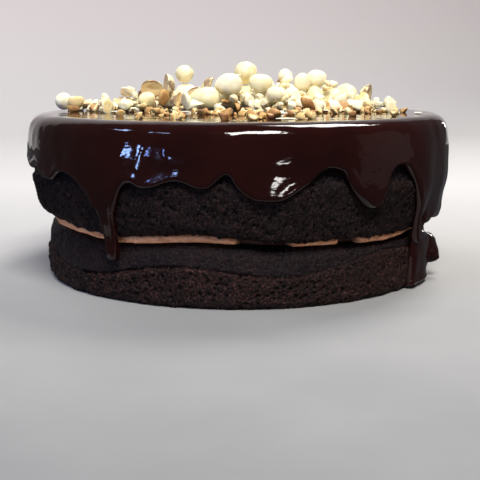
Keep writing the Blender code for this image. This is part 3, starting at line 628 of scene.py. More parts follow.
def fillingFinish():
    # Light brown buttercream, paler on its smears, with crumbs dragged into it, and crumb-dark where crumb
    # closes over it, partly painted shade of that recess
    material, tree, shader, place = startFinish(
        "cocoaButtercream", 0.5, IOR=1.45, Subsurface_Weight=0.1, Subsurface_Scale=0.002
    )
    smear = addNoise(tree, place, 5, 4, 0.6, (1, 1, 3))
    cream = addRamp(
        tree, smear, (0.3, (0.64, 0.255, 0.115)), (0.5, (0.82, 0.370, 0.180)), (0.72, (0.94, 0.50, 0.27))
    )
    crumbs = addRamp(tree, addNoise(tree, place, 1.6, 3, 0.6), (0.62, 0.0), (0.68, 1.0))
    colour = tint(tree, crumbs, 0.7, cream, (0.07, 0.032, 0.022))
    colour = tint(tree, addAttribute(tree, "torn"), 0.4, colour, (0.28, 0.12, 0.072))
    # Where crumb closes over the filling its colour goes near black: partly crumb, partly painted shade of the
    # recess it stands back in
    colour = tint(tree, addAttribute(tree, "closed"), 0.92, colour, (0.012, 0.006, 0.005))
    closeFinish(tree, shader, colour, addRamp(tree, smear, (0.3, 0.42), (0.7, 0.62)))
    addBump(tree, shader, (smear, 0.4), (addNoise(tree, place, 0.7, 3), 0.12))
    return material


# Glaze: poured over the top, down the wall in an uneven hem with drips

glaze = {
    "columns": 860, "wallRows": 30, "shoulderRows": 16, "topRows": 12,
    "top": 81.6, "shoulder": 68, "hem": 59.5, "lowestHem": 0.5, "samples": 14401, "climbWeight": 0.8,
    "outer": (
        (102.0, 0), (102.4, 16), (103.6, 28), (105.6, 38), (108.2, 50), (108.3, 60), (108.0, 68),
        (106.4, 76.6), (103.2, 80.4), (98.5, 81.6), (90, 81.62), (80, 81.62),
    ),
    # The face against the cake: a key of the sponge, how far out from it, and the height
    "inner": (
        ("lowerFoot", 1.4, 0), ("lowerRadius", 0.3, 14), ("lowerRadius", 0.5, 24), ("upperFoot", 0.7, 30),
        ("upperWaist", 0.5, 37),
    ),
    "under": ((30, 77.6), (62, 77.6), (94, 77.6), (98.6, 73.6)), "clearance": 0.45, "hemReach": 34,
    "edgeRounding": 1.9, "bead": 0.06, "tipSwell": 0.7, "room": 8,
    "nearHem": (0, 0.12, 0.3, 0.55, 0.85, 1.2, 1.6, 2.1, 2.7, 3.5, 4.5, 5.8),
    "poolSpread": 3.4, "poolHeight": 3.0, "ripple": 0.33, "rippleSink": 0.26, "topRipple": 0.07,
    "topSink": 0.16,
    # Wavelengths and weights of the ripples, which are drawn out down the side
    "flowLumps": ((34, 1), (17, 0.6), (8, 0.25)), "topLumps": ((42, 1), (19, 0.6), (9, 0.35)),
    "drawnOut": 0.55,
}
# Drips of the hem: angle, width to its left, width to its right (degrees), length, bluntness
drips = (
    (-56.2, 4.1, 5.2, 5.5, 4.9), (-32.4, 6.9, 3.4, 19.0, 3.0), (-33.3, 2.0, 1.8, 21.0, 9),
    (-21.8, 3.2, 5.1, 5.0, 3.1), (-7.7, 4.1, 2.7, 4.5, 3.0), (-2.2, 2.4, 1.8, -5.0, 2.0),
    (6.9, 8.0, 7.6, 10.8, 3.2), (23.8, 5.5, 2.8, -6.2, 4.3), (36.0, 8.4, 2.4, 17.0, 3.1),
    (41.7, 5.8, 5.1, -3.2, 5.6), (71.0, 20.0, 14.5, 26.5, 10), (55.5, 2.3, 2.2, 12.5, 9),
    (60.4, 1.8, 1.8, 2.2, 3), (73.5, 3.4, 3.0, 2.6, 3), (89.0, 3.2, 4.0, 9, 3), (99.5, 3.0, 3.0, 24, 5),
    (107.0, 3.6, 3.6, -2.4, 2),
    (115.0, 4.6, 3.4, 14, 3), (126.0, 3.2, 4.2, 5, 2.4), (137.5, 6.5, 3.0, 12, 2.6), (138.6, 2.3, 2.3, 23, 7),
    (150.0, 4.0, 4.0, -2.8, 2), (159.0, 5.6, 5.2, 11, 3.4), (173.0, 3.4, 3.0, 16, 3.4),
    (183.0, 3.4, 3.6, -3.0, 2.2), (192.5, 3.2, 6.4, 13, 2.8), (191.8, 2.3, 2.4, 30, 7),
    (206.0, 5.4, 4.6, 8.5, 3), (219.0, 3.2, 3.4, 18, 3.6), (229.0, 4.2, 4.0, -2.6, 2),
    (239.5, 6.0, 5.6, 12, 3.2), (252.0, 3.0, 2.8, 21, 5), (263.0, 3.6, 4.0, 6, 2.4),
    (276.0, 4.4, 4.4, 2.4, 2.4), (291.0, 4.6, 4.0, 3.2, 2.4),
)
# The run below the hem's narrow neck on the right: degrees round, millimetres up
run = {
    "start": 54.6, "end": 76.6, "columns": 150, "rows": 60, "top": 28.5, "fall": 6.5, "foot": 1.2,
    "crease": 68.2, "creaseWidth": 1.2, "creaseDepth": 0.5, "lobe": 73.4, "lobeWidth": 3.6, "lobeFoot": 7,
    "lobeRounding": 3, "lobeSwell": 4.6, "swellStart": 26, "swellDepth": 16, "thickness": 2.8, "ripple": 0.16,
    "sink": 0.12, "edgeRounding": 3.2,
}


def hemHeight(angle):
    # An even height, less each drip's length over one plus its share of its width to its bluntness
    height = np.full_like(angle, glaze["hem"])
    for centre, left, right, length, bluntness in drips:
        offset = (np.degrees(angle) - centre + 180) % 360 - 180
        share = np.abs(offset) / np.where(offset < 0, left, right)
        height = height - length / (1 + share**bluntness)
    return np.maximum(height, glaze["lowestHem"])


def smoothCurve(knots, steps):
    # A curve through its knots: the cubic through each pair that leans on the neighbours (Catmull-Rom)
    knots = np.asarray(knots, float)
    padded = np.concatenate([[2 * knots[0] - knots[1]], knots, [2 * knots[-1] - knots[-2]]])
    t = np.linspace(0, 1, steps, endpoint=False)[:, None]
    stretches = []
    for a, b, c, d in zip(padded, padded[1:], padded[2:], padded[3:]):
        stretches.append(0.5 * (
            2 * b + (c - a) * t + (2 * a - 5 * b + 4 * c - d) * t**2 + (3 * b - a - 3 * c + d) * t**3
        ))
    return np.concatenate([*stretches, knots[-1:]])


def wallRadius(angle, height):
    # The face against the cake: it follows the walls and spans the groove at the filling
    swell = waves(angle, sponge["wallWaves"])
    ledge = upperLedge(angle)
    knots = [(sponge[key] + out + swell, level) for key, out, level in glaze["inner"]]
    knots += [(sponge["upperRadius"] + out + swell, ledge + up) for out, up in ((0.3, -2), (0.2, 0.8))]
    knots += sponge["shoulder"][:2]
    radius = knots[0][0] + 0 * height
    for (r0, z0), (r1, z1) in zip(knots, knots[1:]):
        share = np.clip((height - z0) / (z1 - z0), 0, 1)
        radius = np.where(height > z0, r0 + (r1 - r0) * share, radius)
    return radius + glaze["clearance"]


def hemDistance(columnAngle, height, hem):
    # Shortest way along the wall to the hem's line, measured to the stretches near each column
    count = len(columnAngle)
    reach = np.arange(-glaze["hemReach"], glaze["hemReach"] + 1)
    index = (np.arange(count)[:, None] + reach[None, :]) % count
    following = (index + 1) % count
    # Places along the wall, relative to the column
    startX, endX = (
        ((columnAngle[there] - columnAngle[:, None] + math.pi) % turn - math.pi) * sponge["upperRadius"]
        for there in (index, following)
    )
    startZ, endZ = hem[index], hem[following]
    alongX, alongZ = endX - startX, endZ - startZ
    length = alongX**2 + alongZ**2 + 1e-9
    nearest = np.full(height.shape, 99.0)
    for k in range(len(reach)):
        awayX, awayZ = -startX[:, k], height - startZ[:, k]
        share = np.clip((awayX * alongX[:, k] + awayZ * alongZ[:, k]) / length[:, k], 0, 1)
        away = np.hypot(awayX - share * alongX[:, k], awayZ - share * alongZ[:, k])
        nearest = np.minimum(nearest, away)
    return nearest


def makeGlaze(finish):
    fine = np.linspace(0, turn, glaze["samples"])
    along = np.hypot(np.diff(fine) * sponge["upperRadius"], glaze["climbWeight"] * np.diff(hemHeight(fine)))
    travelled = np.concatenate([[0], np.cumsum(along)])
    angle = np.interp(np.linspace(0, travelled[-1], glaze["columns"] + 1)[:-1], travelled, fine)
    hem = hemHeight(angle)
    room = np.minimum((glaze["shoulder"] - hem) / glaze["room"], 1)
    near = hem + np.array(glaze["nearHem"])[:, None] * room
    shares = np.linspace(0, 1, glaze["wallRows"] + 1)[1:, None]
    wall = np.concatenate([near, near[-1] + (glaze["shoulder"] - near[-1]) * shares])
    curve = smoothCurve(glaze["outer"], 24)
    climbing = curve[curve[:, 1] <= glaze["shoulder"] + 1]
    inner = wallRadius(angle, wall)
    body = np.interp(wall, climbing[:, 1], climbing[:, 0]) - inner
    distance = hemDistance(angle, wall, hem)
    share = np.clip(distance / glaze["edgeRounding"], 0, 1)
    rounding = np.sqrt(1 - (1 - share) ** 2)
    below = blendStep(glaze["shoulder"] - wall, 0, 6)
    bead = 1 + glaze["bead"] * np.exp(-(((distance - 2.6) / 1.7) ** 2)) * below
    pool = glaze["poolSpread"] * np.exp(-((wall / glaze["poolHeight"]) ** 2))
    tip = glaze["tipSwell"] * blendStep(glaze["hem"] - hem, 10, 22) * np.exp(-(((wall - hem - 3) / 4.5) ** 2))
    drawn = np.array([1, 1, glaze["drawnOut"]])
    spread = onCake(angle, sponge["upperRadius"], wall) * drawn
    flow = glaze["ripple"] * manyLumps(spread, 401, *glaze["flowLumps"]) - glaze["rippleSink"]
    outer = inner + (body + pool + tip) * rounding * bead + flow * blendStep(distance, 0.5, 4)
    # Shoulder and top, along the same curve, then in to the middle
    start = int(np.argmin(np.abs(curve[:, 1] - glaze["shoulder"])))
    cap = curve[start:]
    way = np.concatenate([[0], np.cumsum(np.hypot(*np.diff(cap, axis=0).T))])
    steps = np.linspace(0, way[-1], glaze["shoulderRows"] + 1)[1:]
    capRadius = np.interp(steps, way, cap[:, 0])[:, None] + 0 * angle
    capHeight = np.interp(steps, way, cap[:, 1])[:, None] + 0 * angle
    topRadius = np.linspace(80, 0, glaze["topRows"] + 2)[1:-1, None] + 0 * angle
    topHeight = glaze["top"] + 0.02 + 0 * topRadius
    upperRadius = np.concatenate([capRadius, topRadius])
    upperHeight = np.concatenate([capHeight, topHeight])
    outRadius, outHeight = outwardOf(
        np.concatenate([outer[-2:], upperRadius]), np.concatenate([wall[-2:], upperHeight])
    )
    spread = onCake(angle, upperRadius, upperHeight)
    capFlow = glaze["ripple"] * manyLumps(spread * drawn, 401, *glaze["flowLumps"]) - glaze["rippleSink"]
    topFlow = glaze["topRipple"] * manyLumps(spread, 404, *glaze["topLumps"]) - glaze["topSink"]
    level = blendStep(upperHeight, 76, 81.4)
    push = capFlow * (1 - level) + topFlow * level
    upperRadius = upperRadius + push * outRadius[2:]
    upperHeight = upperHeight + push * outHeight[2:]
    # The face against the cake runs from the middle of the underside out and down to the hem
    under = np.array(glaze["under"])[:, :, None] + 0 * angle
    back = wall[::-1]
    keep = np.r_[0:glaze["wallRows"]:4, glaze["wallRows"]:len(back) - 1]
    radius = np.concatenate([under[:, 0], inner[::-1][keep], outer, upperRadius])
    height = np.concatenate([under[:, 1], back[keep], wall, upperHeight])
    ends = (0, 0, glaze["under"][0][1]), (0, 0, glaze["top"] - 0.1)
    pour = (*closeRings(onCake(angle, radius, height), *ends), {})
    points, quads, triangles, _ = joinShapes([pour, spreadRun()])
    return makePiece("glazePour", points, quads, triangles, finish, "ganache", ("glaze",))


def spreadRun():
    # A closed pad against the lower sponge: two lobes with a crease between, the right one swollen
    degrees = np.linspace(run["start"], run["end"], run["columns"])[None, :]
    angle = np.radians(degrees)
    fall = run["fall"] * (1 - np.cos(math.pi * (degrees - run["start"]) / (run["end"] - run["start"]))) / 2
    lifted = blendStep(degrees, run["crease"], run["crease"] + run["creaseWidth"])
    fromLobe = (degrees - run["lobe"]) / run["lobeWidth"]
    lobe = run["lobeFoot"] - run["foot"] + run["lobeRounding"] * fromLobe**2
    foot, top = run["foot"] + lobe * lifted, run["top"] - fall
    share = (1 - np.cos(np.linspace(0, math.pi, run["rows"])[:, None])) / 2
    height = foot + (top - foot) * share
    inner = wallRadius(angle, height) - run["sink"]
    aside = np.radians(np.minimum(degrees - run["start"], run["end"] - degrees)) * sponge["lowerRadius"]
    inward = np.minimum(np.minimum(aside, height - foot), top - height)
    inward = np.clip(inward / run["edgeRounding"], 0, 1)
    swell = run["lobeSwell"] * np.exp(-(fromLobe**2))
    swell = swell * np.clip((run["swellStart"] - height) / run["swellDepth"], 0, 1)
    crease = 1 - run["creaseDepth"] * np.exp(-(((degrees - run["crease"]) / run["creaseWidth"]) ** 2))
    pool = glaze["poolSpread"] * np.exp(-((height / glaze["poolHeight"]) ** 2))
    spread = onCake(angle, sponge["lowerRadius"], height)
    flow = run["ripple"] * manyLumps(spread, 411, (11, 1), (5, 0.4)) - run["ripple"]
    outer = inner + (run["thickness"] * crease + swell + pool + flow) * np.sqrt(1 - (1 - inward) ** 2)
    front, back = onCake(angle, outer, height), onCake(angle, inner, height)[::-1][1:-1]
    # Each column's ring goes up the outside and down the inside
    rings = np.concatenate([front, back]).transpose(1, 0, 2)
    points, quads, triangles = closeShape(rings)
    return points, *faceOut(points - points.mean(axis=0), quads, triangles), {}


def glazeFinish():
    # Dark ganache with a mirror gloss: faint clouds in its colour and gloss, and pinholes of air
    material, tree, shader, place = startFinish("darkGanache", 0.07, IOR=1.42)
    clouds = addNoise(tree, place, 30, 3)
    colour = addRamp(tree, clouds, (0.3, (0.0090, 0.0014, 0.0012)), (0.7, (0.0160, 0.0028, 0.0021)))
    film = addNoise(tree, place, 9, 4, 0.6)
    closeFinish(tree, shader, colour, addRamp(tree, film, (0.35, 0.03), (0.7, 0.10)))
    pins = addRamp(tree, addCells(tree, place, 4.5), (0.0, 0.0), (0.06, 1.0))
    # Flow lines run round the cake, so the bumps are drawn out along it
    flow = addNoise(tree, place, 6, 2, 0.5, (0.45, 0.45, 1.1))
    grain = addNoise(tree, place, 1.7, 2, 0.5, (0.6, 0.6, 1.2))
    addBump(tree, shader, (flow, 0.22), (grain, 0.03), (pins, 0.03))
    return material


# Toppings: hazelnuts whole, halved and broken, chopped bits, slivers and crumbs

nuts = {
    "rows": 34, "columns": 52, "halfRows": 38, "halfColumns": 80, "chunkRows": 36, "chunkColumns": 56,
    "fit": 0.985, "taper": 0.16, "ridges": 0.007, "lump": 0.10, "fineLump": 0.03, "skinned": 0.18,
    "tip": 0.25,
    # Depth and width of the seam; of the draw to the tip; and how flat, dished and wide the scar is
    "seam": (0.028, 0.13), "tipDraw": (0.22, 0.10), "scar": (0.945, 0.02, 0.12),
    "dish": 0.30, "cutGrain": 0.07, "chunkSharpness": 22,
}
chopped = {
    "rows": 12, "columns": 16, "crumbRows": 6, "crumbColumns": 8, "sink": 0.22, "seed": 77, "sharpness": 26,
    "flakeHeight": 1.3, "steepest": 0.62, "crumbSteepest": 0.4, "highest": 2.5, "crumbSpread": (44, 26, -4),
    # Scattered bits: how many, middle x and y, spread x and y
    "clusters": (
        (9, -53, 13, 4, 6), (14, -41, -4, 4, 9), (12, -29, -44, 4, 12), (24, -8, -27, 8, 6),
        (13, 7, -60, 4, 7),
        (18, 16, -48, 4, 8), (16, 29, -32, 5, 8), (18, 66, 0, 6, 6), (5, 79, -8, 4, 4), (10, -86, 14, 5, 4),
        (8, -66, 10, 7, 5), (14, 44, -10, 8, 6), (40, 0, 38, 42, 18),
    ),
    "sizes": (1.7, 4.0), "crumbs": 130, "crumbSizes": (0.45, 1.2), "rim": 92,
}
# Bed of cream pieces under and between the nuts. Each mound: how many pieces, middle x and y, spread x and y,
# height, and the share of its pieces that lie under a nut instead
bed = {
    "mounds": (
        (285, 0, 16, 35, 13, 11, 0.66), (38, 20, 17, 17, 6, 17, 0),
        (12, -82, 19, 5, 5, 3, 0), (16, 66, 14, 9, 8, 5, 0),
    ),
    "sizes": (3.2, 9.5), "rows": 14, "columns": 20, "brown": 0.12,
}
slivers = {
    "rows": 18, "columns": 14, "extra": 26, "length": (4.5, 11), "width": (1.6, 3.0), "thickness": 0.75,
    "steepest": 0.7, "spread": (38, 22, -4),
}


def nodeMesh(name):
    # Points in millimetres and triangles of a CAD node, its loose triangles joined
    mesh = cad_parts[name].data
    points = np.zeros(len(mesh.vertices) * 3)
    mesh.vertices.foreach_get("co", points)
    corners = np.zeros(len(mesh.loops), np.int32)
    mesh.loops.foreach_get("vertex_index", corners)
    joined, index = np.unique(np.round(points.reshape(-1, 3) / mm, 4), axis=0, return_inverse=True)
    return joined, index.ravel()[corners].reshape(-1, 3)


def nutPlace(name):
    # Middle, axes, length and width of a nut's solid: its poles are the two points furthest apart, and the
    # wide end is the scar's; a half bulges along its second axis
    points, _ = nodeMesh(name)
    away = np.linalg.norm(points[:, None] - points[None], axis=2)
    i, j = np.unravel_index(away.argmax(), away.shape)
    middle = (points[i] + points[j]) / 2
    axis = (points[j] - points[i]) / away.max()
    along = (points - middle) @ axis
    outward = points - middle - along[:, None] * axis
    radius = np.linalg.norm(outward, axis=1)
    if (along * radius).sum() > 0:
        axis = -axis
    side = outward.sum(axis=0) if "half" in name else outward[radius.argmax()]
    side = side / np.linalg.norm(side)
    return middle, np.stack([axis, side, np.cross(axis, side)]), away.max(), 2 * radius.max()


def toPlace(local, middle, axes):
    return local @ axes + middle


def ovalProfile(share, length, width):
    # Along the axis by a cosine; the radius by a sine, fuller at the scar and drawn to a tip
    radius = np.sin(math.pi * share) * (1 + nuts["taper"] * np.cos(math.pi * share))
    draw, reach = nuts["tipDraw"]
    radius = radius * (1 - draw * np.exp(-(((1 - share) / reach) ** 2)))
    flat, dish, wide = nuts["scar"]
    along = -np.cos(math.pi * share)
    along = np.maximum(along, -flat - dish * np.cos(math.pi * np.clip(share / wide, 0, 1)))
    return along * length / 2, radius * width / 2


def wholeNut(name, rng):
    # An oval of rings with faint lengthwise ridges, one shallow seam and soft lumps
    middle, axes, length, width = nutPlace(name)
    share, around = ringGrid(nuts["rows"], nuts["columns"], 0.6)
    along, radius = ovalProfile(share, length * nuts["fit"], width * nuts["fit"])
    waist = np.sin(math.pi * share) ** 2
    ridges = sum(np.cos(n * around + rng.uniform(0, turn)) * rng.uniform(0.3, 1) for n in (2, 3, 5, 8, 13))
    deep, wide = nuts["seam"]
    seam = np.exp(-(((around - rng.uniform(1, 5)) / wide) ** 2))
    radius = radius * (1 + nuts["ridges"] * ridges * waist - deep * seam * waist * rng.uniform(0, 1))
    local = stackPoints(along, radius * np.sin(around), radius * np.cos(around))
    seed = int(rng.integers(1e6))
    swell = nuts["lump"] * lumps(local, 6.5, seed) + nuts["fineLump"] * lumps(local, 1.8, seed + 1, 14)
    local = local * (1 + swell / (width / 2))[..., None]
    points, quads, triangles = closeShape(local, nuts["tip"])
    patch = manyLumps(points, seed + 2, (7.5, 1), (2.2, 0.5))
    skinned = rng.uniform() < nuts["skinned"]
    scar = blendStep(-points[:, 0] / length, 0.44, 0.475)
    skin = 0.7 * blendStep(patch, 1.25, 1.6) * skinned
    golden = blendStep(lumps(points, 9, seed + 4), 0.1, 1.3) * rng.uniform(0.0, 0.75)
    golden = np.clip(golden + 0.15 * scar, 0, 1)
    attributes = {"skin": skin, "golden": golden, "cut": 0 * skin, "tone": 0 * skin + rng.uniform()}
    placed = toPlace(points, middle, axes)
    return placed, *faceOut(placed - middle, quads, triangles), attributes


def halfNut(name, rng):
    # Half an oval: the outer side sweeps half way round, and the cut side runs straight back across, hollowed
    # in the middle; brown skin shows as a ring round the cut
    middle, axes, length, width = nutPlace(name)
    count = nuts["halfColumns"] // 2
    share, _ = ringGrid(nuts["halfRows"], count, 0.6)
    sweep = np.linspace(0, math.pi, count)[None, :]
    across = np.linspace(-1, 1, count + 2)[None, 1:-1]
    along, radius = ovalProfile(share, length * nuts["fit"], width * nuts["fit"])
    seed = int(rng.integers(1e6))
    ridges = sum(np.cos(n * sweep + rng.uniform(0, turn)) * rng.uniform(0.3, 1) for n in (3, 5, 8))
    full = radius * (1 + nuts["ridges"] * ridges * np.sin(sweep) * np.sin(math.pi * share))
    outer = stackPoints(along, full * np.sin(sweep), full * np.cos(sweep))
    z = radius * across
    rim = np.clip(1 - across**2, 0, 1)
    hollow = 0.085 * width * np.exp(-((along / (0.24 * length)) ** 2) - (z / (0.20 * width)) ** 2)
    dish = nuts["dish"] * rim * np.sin(math.pi * share) + hollow
    flat = stackPoints(along, dish, z)
    flat[..., 1] += nuts["cutGrain"] * lumps(flat, 2.4, seed, 14) * rim
    points, quads, triangles = closeShape(np.concatenate([outer, flat], axis=1))
    none = 0 * sweep + 0 * share
    cut = np.concatenate([none, rim**0.5 + 0 * share], axis=1).ravel()
    edge = np.concatenate([none, blendStep(np.abs(across) + 0 * share, 0.80, 0.90)], axis=1).ravel()
    ends = [0, 0]
    patch = manyLumps(points, seed + 2, (5, 1), (1.8, 0.5))
    outerSkin = blendStep(patch, -0.2, 0.3) * (np.append(cut, ends) < 0.05) * (rng.uniform() < 0.6)
    skin = np.clip(outerSkin * 0.8 + np.append(edge, ends) * 0.85, 0, 1)
    golden = 0.25 + 0.45 * rng.uniform() + 0.2 * lumps(points, 3, seed + 4)
    attributes = {
        "skin": skin, "golden": np.clip(golden, 0, 1), "cut": np.append(blendStep(cut, 0.1, 0.5), ends),
        "tone": 0 * skin + rng.uniform(),
    }
    placed = toPlace(points, middle, axes)
    return placed, *faceOut(placed - middle, quads, triangles), attributes


def facetShape(normals, offsets, lots, rows, columns, sharpness):
    # A broken lump between flat breaks: in each direction the surface lies where the nearest break does, and
    # a high power of all of them rounds the edges between; one lot more than breaks is for a ball round them
    share, around = ringGrid(rows, columns)
    share = share * math.pi
    ways = stackPoints(np.cos(share), np.sin(share) * np.cos(around), np.sin(share) * np.sin(around))
    ways = np.concatenate([ways.reshape(-1, 3), [(1, 0, 0), (-1, 0, 0)]])
    facing = np.clip(ways @ normals.T / offsets, 1e-6, None)
    if len(lots) > len(normals):
        facing = np.hstack([facing, np.ones((len(ways), 1))])
    reach = (facing**sharpness).sum(axis=1) ** (-1 / sharpness)
    local = ways * reach[:, None]
    rings = local[:-2].reshape(rows, columns, 3)
    points, quads, triangles = closeRings(rings, local[-2], local[-1])
    return points, quads, triangles, lots[facing.argmax(axis=1)]


def chunkNut(name, rng):
    # The solid's own faces, their edges rounded, with a grain on every break
    corners, triangles = nodeMesh(name)
    middle = corners.mean(axis=0)
    a, b, c = (corners[triangles[:, k]] - middle for k in range(3))
    normals = np.cross(b - a, c - a)
    area = np.linalg.norm(normals, axis=1)
    normals, a = normals[area > 1e-6] / area[area > 1e-6][:, None], a[area > 1e-6]
    offsets = np.einsum("ij,ij->i", normals, a)
    normals, offsets = normals * np.sign(offsets)[:, None], np.abs(offsets)
    grid = nuts["chunkRows"], nuts["chunkColumns"], nuts["chunkSharpness"]
    points, quads, triangles, lot = facetShape(normals, offsets, rng.uniform(size=len(normals)), *grid)
    seed = int(rng.integers(1e6))
    grain = 0.05 * lumps(points, 1.3, seed, 14) + 0.12 * lumps(points, 3.5, seed + 1)
    points = points * (1 + grain / np.linalg.norm(points, axis=1))[:, None]
    attributes = {
        "skin": (lot > 0.82) * 0.8, "golden": 0.15 + 0.35 * lot, "cut": (lot < 0.5) * 0.5,
        "tone": 0 * lot + rng.uniform(),
    }
    return points + middle, *faceOut(points, quads, triangles), attributes


def makeNuts(finish):
    makers = {
        "whole": ("wholeNuts", wholeNut), "half": ("halvedNuts", halfNut), "chunk": ("brokenNuts", chunkNut),
    }
    made = []
    for kind, (pieceName, maker) in makers.items():
        names = sorted(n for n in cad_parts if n.startswith(f"hazelnut_{kind}"))
        rng = np.random.default_rng(len(names))
        shapes = [maker(name, rng) for name in names]
        points, quads, triangles, attributes = joinShapes(shapes)
        made.append(makePiece(pieceName, points, quads, triangles, finish, "hazelnut", names, attributes))
    return made


def kernelFinish():
    # Blanched kernel: ivory, warmer in places, tan where cut, with leftovers of brown skin
    material, tree, shader, place = startFinish(
        "blanchedKernel", 0.45, IOR=1.46, Subsurface_Weight=0.12, Subsurface_Scale=0.0015
    )
    skin, golden, cut, tone = (addAttribute(tree, key) for key in ("skin", "golden", "cut", "tone"))
    mottle = addNoise(tree, place, 2.6, 4, 0.6)
    ivory = addRamp(tree, mottle, (0.3, (0.80, 0.69, 0.36)), (0.6, (0.88, 0.79, 0.50)))
    pale = addRamp(tree, mottle, (0.3, (0.86, 0.78, 0.54)), (0.6, (0.92, 0.87, 0.68)))
    colour = addMix(tree, tone, ivory, pale)
    colour = tint(tree, golden, 0.45, colour, (0.76, 0.55, 0.22))
    colour = tint(tree, cut, 0.62, colour, (0.62, 0.40, 0.18))
    flecks = addRamp(tree, addNoise(tree, place, 0.9, 3, 0.6), (0.66, 0.0), (0.74, 0.25))
    colour = addMix(tree, flecks, colour, (0.60, 0.40, 0.18))
    skinColour = addRamp(tree, mottle, (0.3, (0.085, 0.030, 0.013)), (0.65, (0.22, 0.095, 0.042)))
    colour = addMix(tree, skin, colour, skinColour)
    closeFinish(tree, shader, colour, addRamp(tree, mottle, (0.3, 0.36), (0.7, 0.58)))
    addBump(tree, shader, (mottle, 0.10), (addNoise(tree, place, 0.5, 3), 0.05))
    return material


def islandsAbove(points, triangles, level):
    # Groups of joined points above a level: each takes the lowest label along its edges till none changes
    edges = np.concatenate([triangles[:, [0, 1]], triangles[:, [1, 2]], triangles[:, [2, 0]]])
    edges = edges[(points[edges][:, :, 2] > level).all(axis=1)]
    label = np.arange(len(points))
    before = None
    while before is None or (label != before).any():
        before = label.copy()
        low = np.minimum(label[edges[:, 0]], label[edges[:, 1]])
        np.minimum.at(label, edges[:, 0], low)
        np.minimum.at(label, edges[:, 1], low)
    used = np.unique(edges)
    return [points[used[label[used] == k]] for k in np.unique(label[used])]


def groundUnder(pieces):
    # Search trees of what lies below a point, to set bits down on
    view = bpy.context.evaluated_depsgraph_get()
    trees = [BVHTree.FromObject(piece, view) for piece in pieces]

    def restAt(x, y):
        hits = [tree.ray_cast(Vector((x * mm, y * mm, 0.2)), Vector((0, 0, -1))) for tree in trees]
        hits = [(hit[0].z / mm, hit[1]) for hit in hits if hit[0] is not None]
        return max(hits, key=lambda hit: hit[0]) if hits else (glaze["top"], Vector((0, 0, 1)))

    return restAt


def nutCores():
    # Middle and mean radius of each nut's solid
    solids = [nodeMesh(name)[0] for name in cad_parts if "hazelnut" in name]
    boxes = np.array([[points.min(axis=0), points.max(axis=0)] for points in solids])
    return boxes.mean(axis=1), np.ptp(boxes, axis=1).mean(axis=1) / 2


def bedPieces(rng):
    # Pieces at random levels in mounds that thin out by a bell curve both ways, clear of the nuts' middles
    middles, radii = nutCores()
    small, large = bed["sizes"]
    pieces = []
    for count, middleX, middleY, spreadX, spreadY, height, underNuts in bed["mounds"]:
        made = 0
        while made < count:
            size = small + (large - small) * rng.uniform() ** 1.6
            if rng.uniform() < underNuts:
                nut = rng.integers(len(radii))
                x, y = middles[nut][:2] + rng.normal(size=2) * radii[nut] * 0.7
                lift = rng.uniform() ** 0.5 * max(middles[nut][2] - size / 3 - glaze["top"], 0)
            else:
                offX, offY = rng.normal(size=2)
                x, y = middleX + offX * spreadX, middleY + offY * spreadY
                lift = rng.uniform() * height * math.exp(-(offX**2 + offY**2) / 2.8)
            centre = np.array([x, y, glaze["top"] + lift + size / 3])
            inNut = (np.linalg.norm(middles - centre, axis=1) < radii + size * 0.2).any()
            if inNut or math.hypot(x, y) > chopped["rim"]:
                continue
            made += 1
            tone = rng.uniform(0.65, 1) if rng.uniform() < bed["brown"] else rng.uniform(0, 0.3)
            sizes = size * rng.uniform(0.5, 1.1, 3)
            pieces.append(chopBit(x, y, glaze["top"] + lift, sizes, bed["rows"], bed["columns"], rng, tone))
    return pieces


def chopBit(x, y, bottom, sizes, rows, columns, rng, tone=None):
    # One bit: a ball cut by five to eight flat breaks, turned any way and drawn to its sizes
    count = rng.integers(5, 9)
    normals = rng.normal(size=(count, 3))
    normals /= np.linalg.norm(normals, axis=1, keepdims=True)
    offsets = rng.uniform(0.2, 0.6, count)
    lots = rng.uniform(size=count + 1)
    points, quads, triangles, lot = facetShape(normals, offsets, lots, rows, columns, chopped["sharpness"])
    points = points * np.asarray(sizes) / np.ptp(points, axis=0)
    low, high = points[:, 2].min(), points[:, 2].max()
    points = points + np.array([x, y, bottom - low - chopped["sink"] * (high - low)])
    tone = rng.uniform(0.36, 1) if tone is None else tone
    attributes = {"tone": 0 * lot + tone, "face": lot}
    return points, *faceOut(points - points.mean(axis=0), quads, triangles), attributes


def sliver(x, y, z, length, width, yaw, tilt, rng):
    # A thin lens: its width follows a sine along it, its ends slim, and it bows a little
    share, around = ringGrid(slivers["rows"], slivers["columns"], 0.7)
    half = np.sin(math.pi * share) ** 0.75
    along = (share - 0.5) * length
    bow = rng.uniform(-0.5, 0.9) * (1 - (2 * share - 1) ** 2)
    side = width / 2 * half * np.cos(around) * (1 + 0.12 * np.cos(3 * math.pi * share + rng.uniform(0, turn)))
    lift = slivers["thickness"] / 2 * half**0.5 * np.sin(around) + bow * 0.6
    points, quads, triangles = closeShape(stackPoints(along, side, lift))
    c, s = math.cos(tilt), math.sin(tilt)
    points = points @ np.array([[c, 0, s], [0, 1, 0], [-s, 0, c]])
    c, s = math.cos(yaw), math.sin(yaw)
    points = points @ np.array([[c, s, 0], [-s, c, 0], [0, 0, 1]]) + np.array([x, y, z])
    attributes = {"tone": np.full(len(points), rng.uniform())}
    return points, *faceOut(points - points.mean(axis=0), quads, triangles), attributes


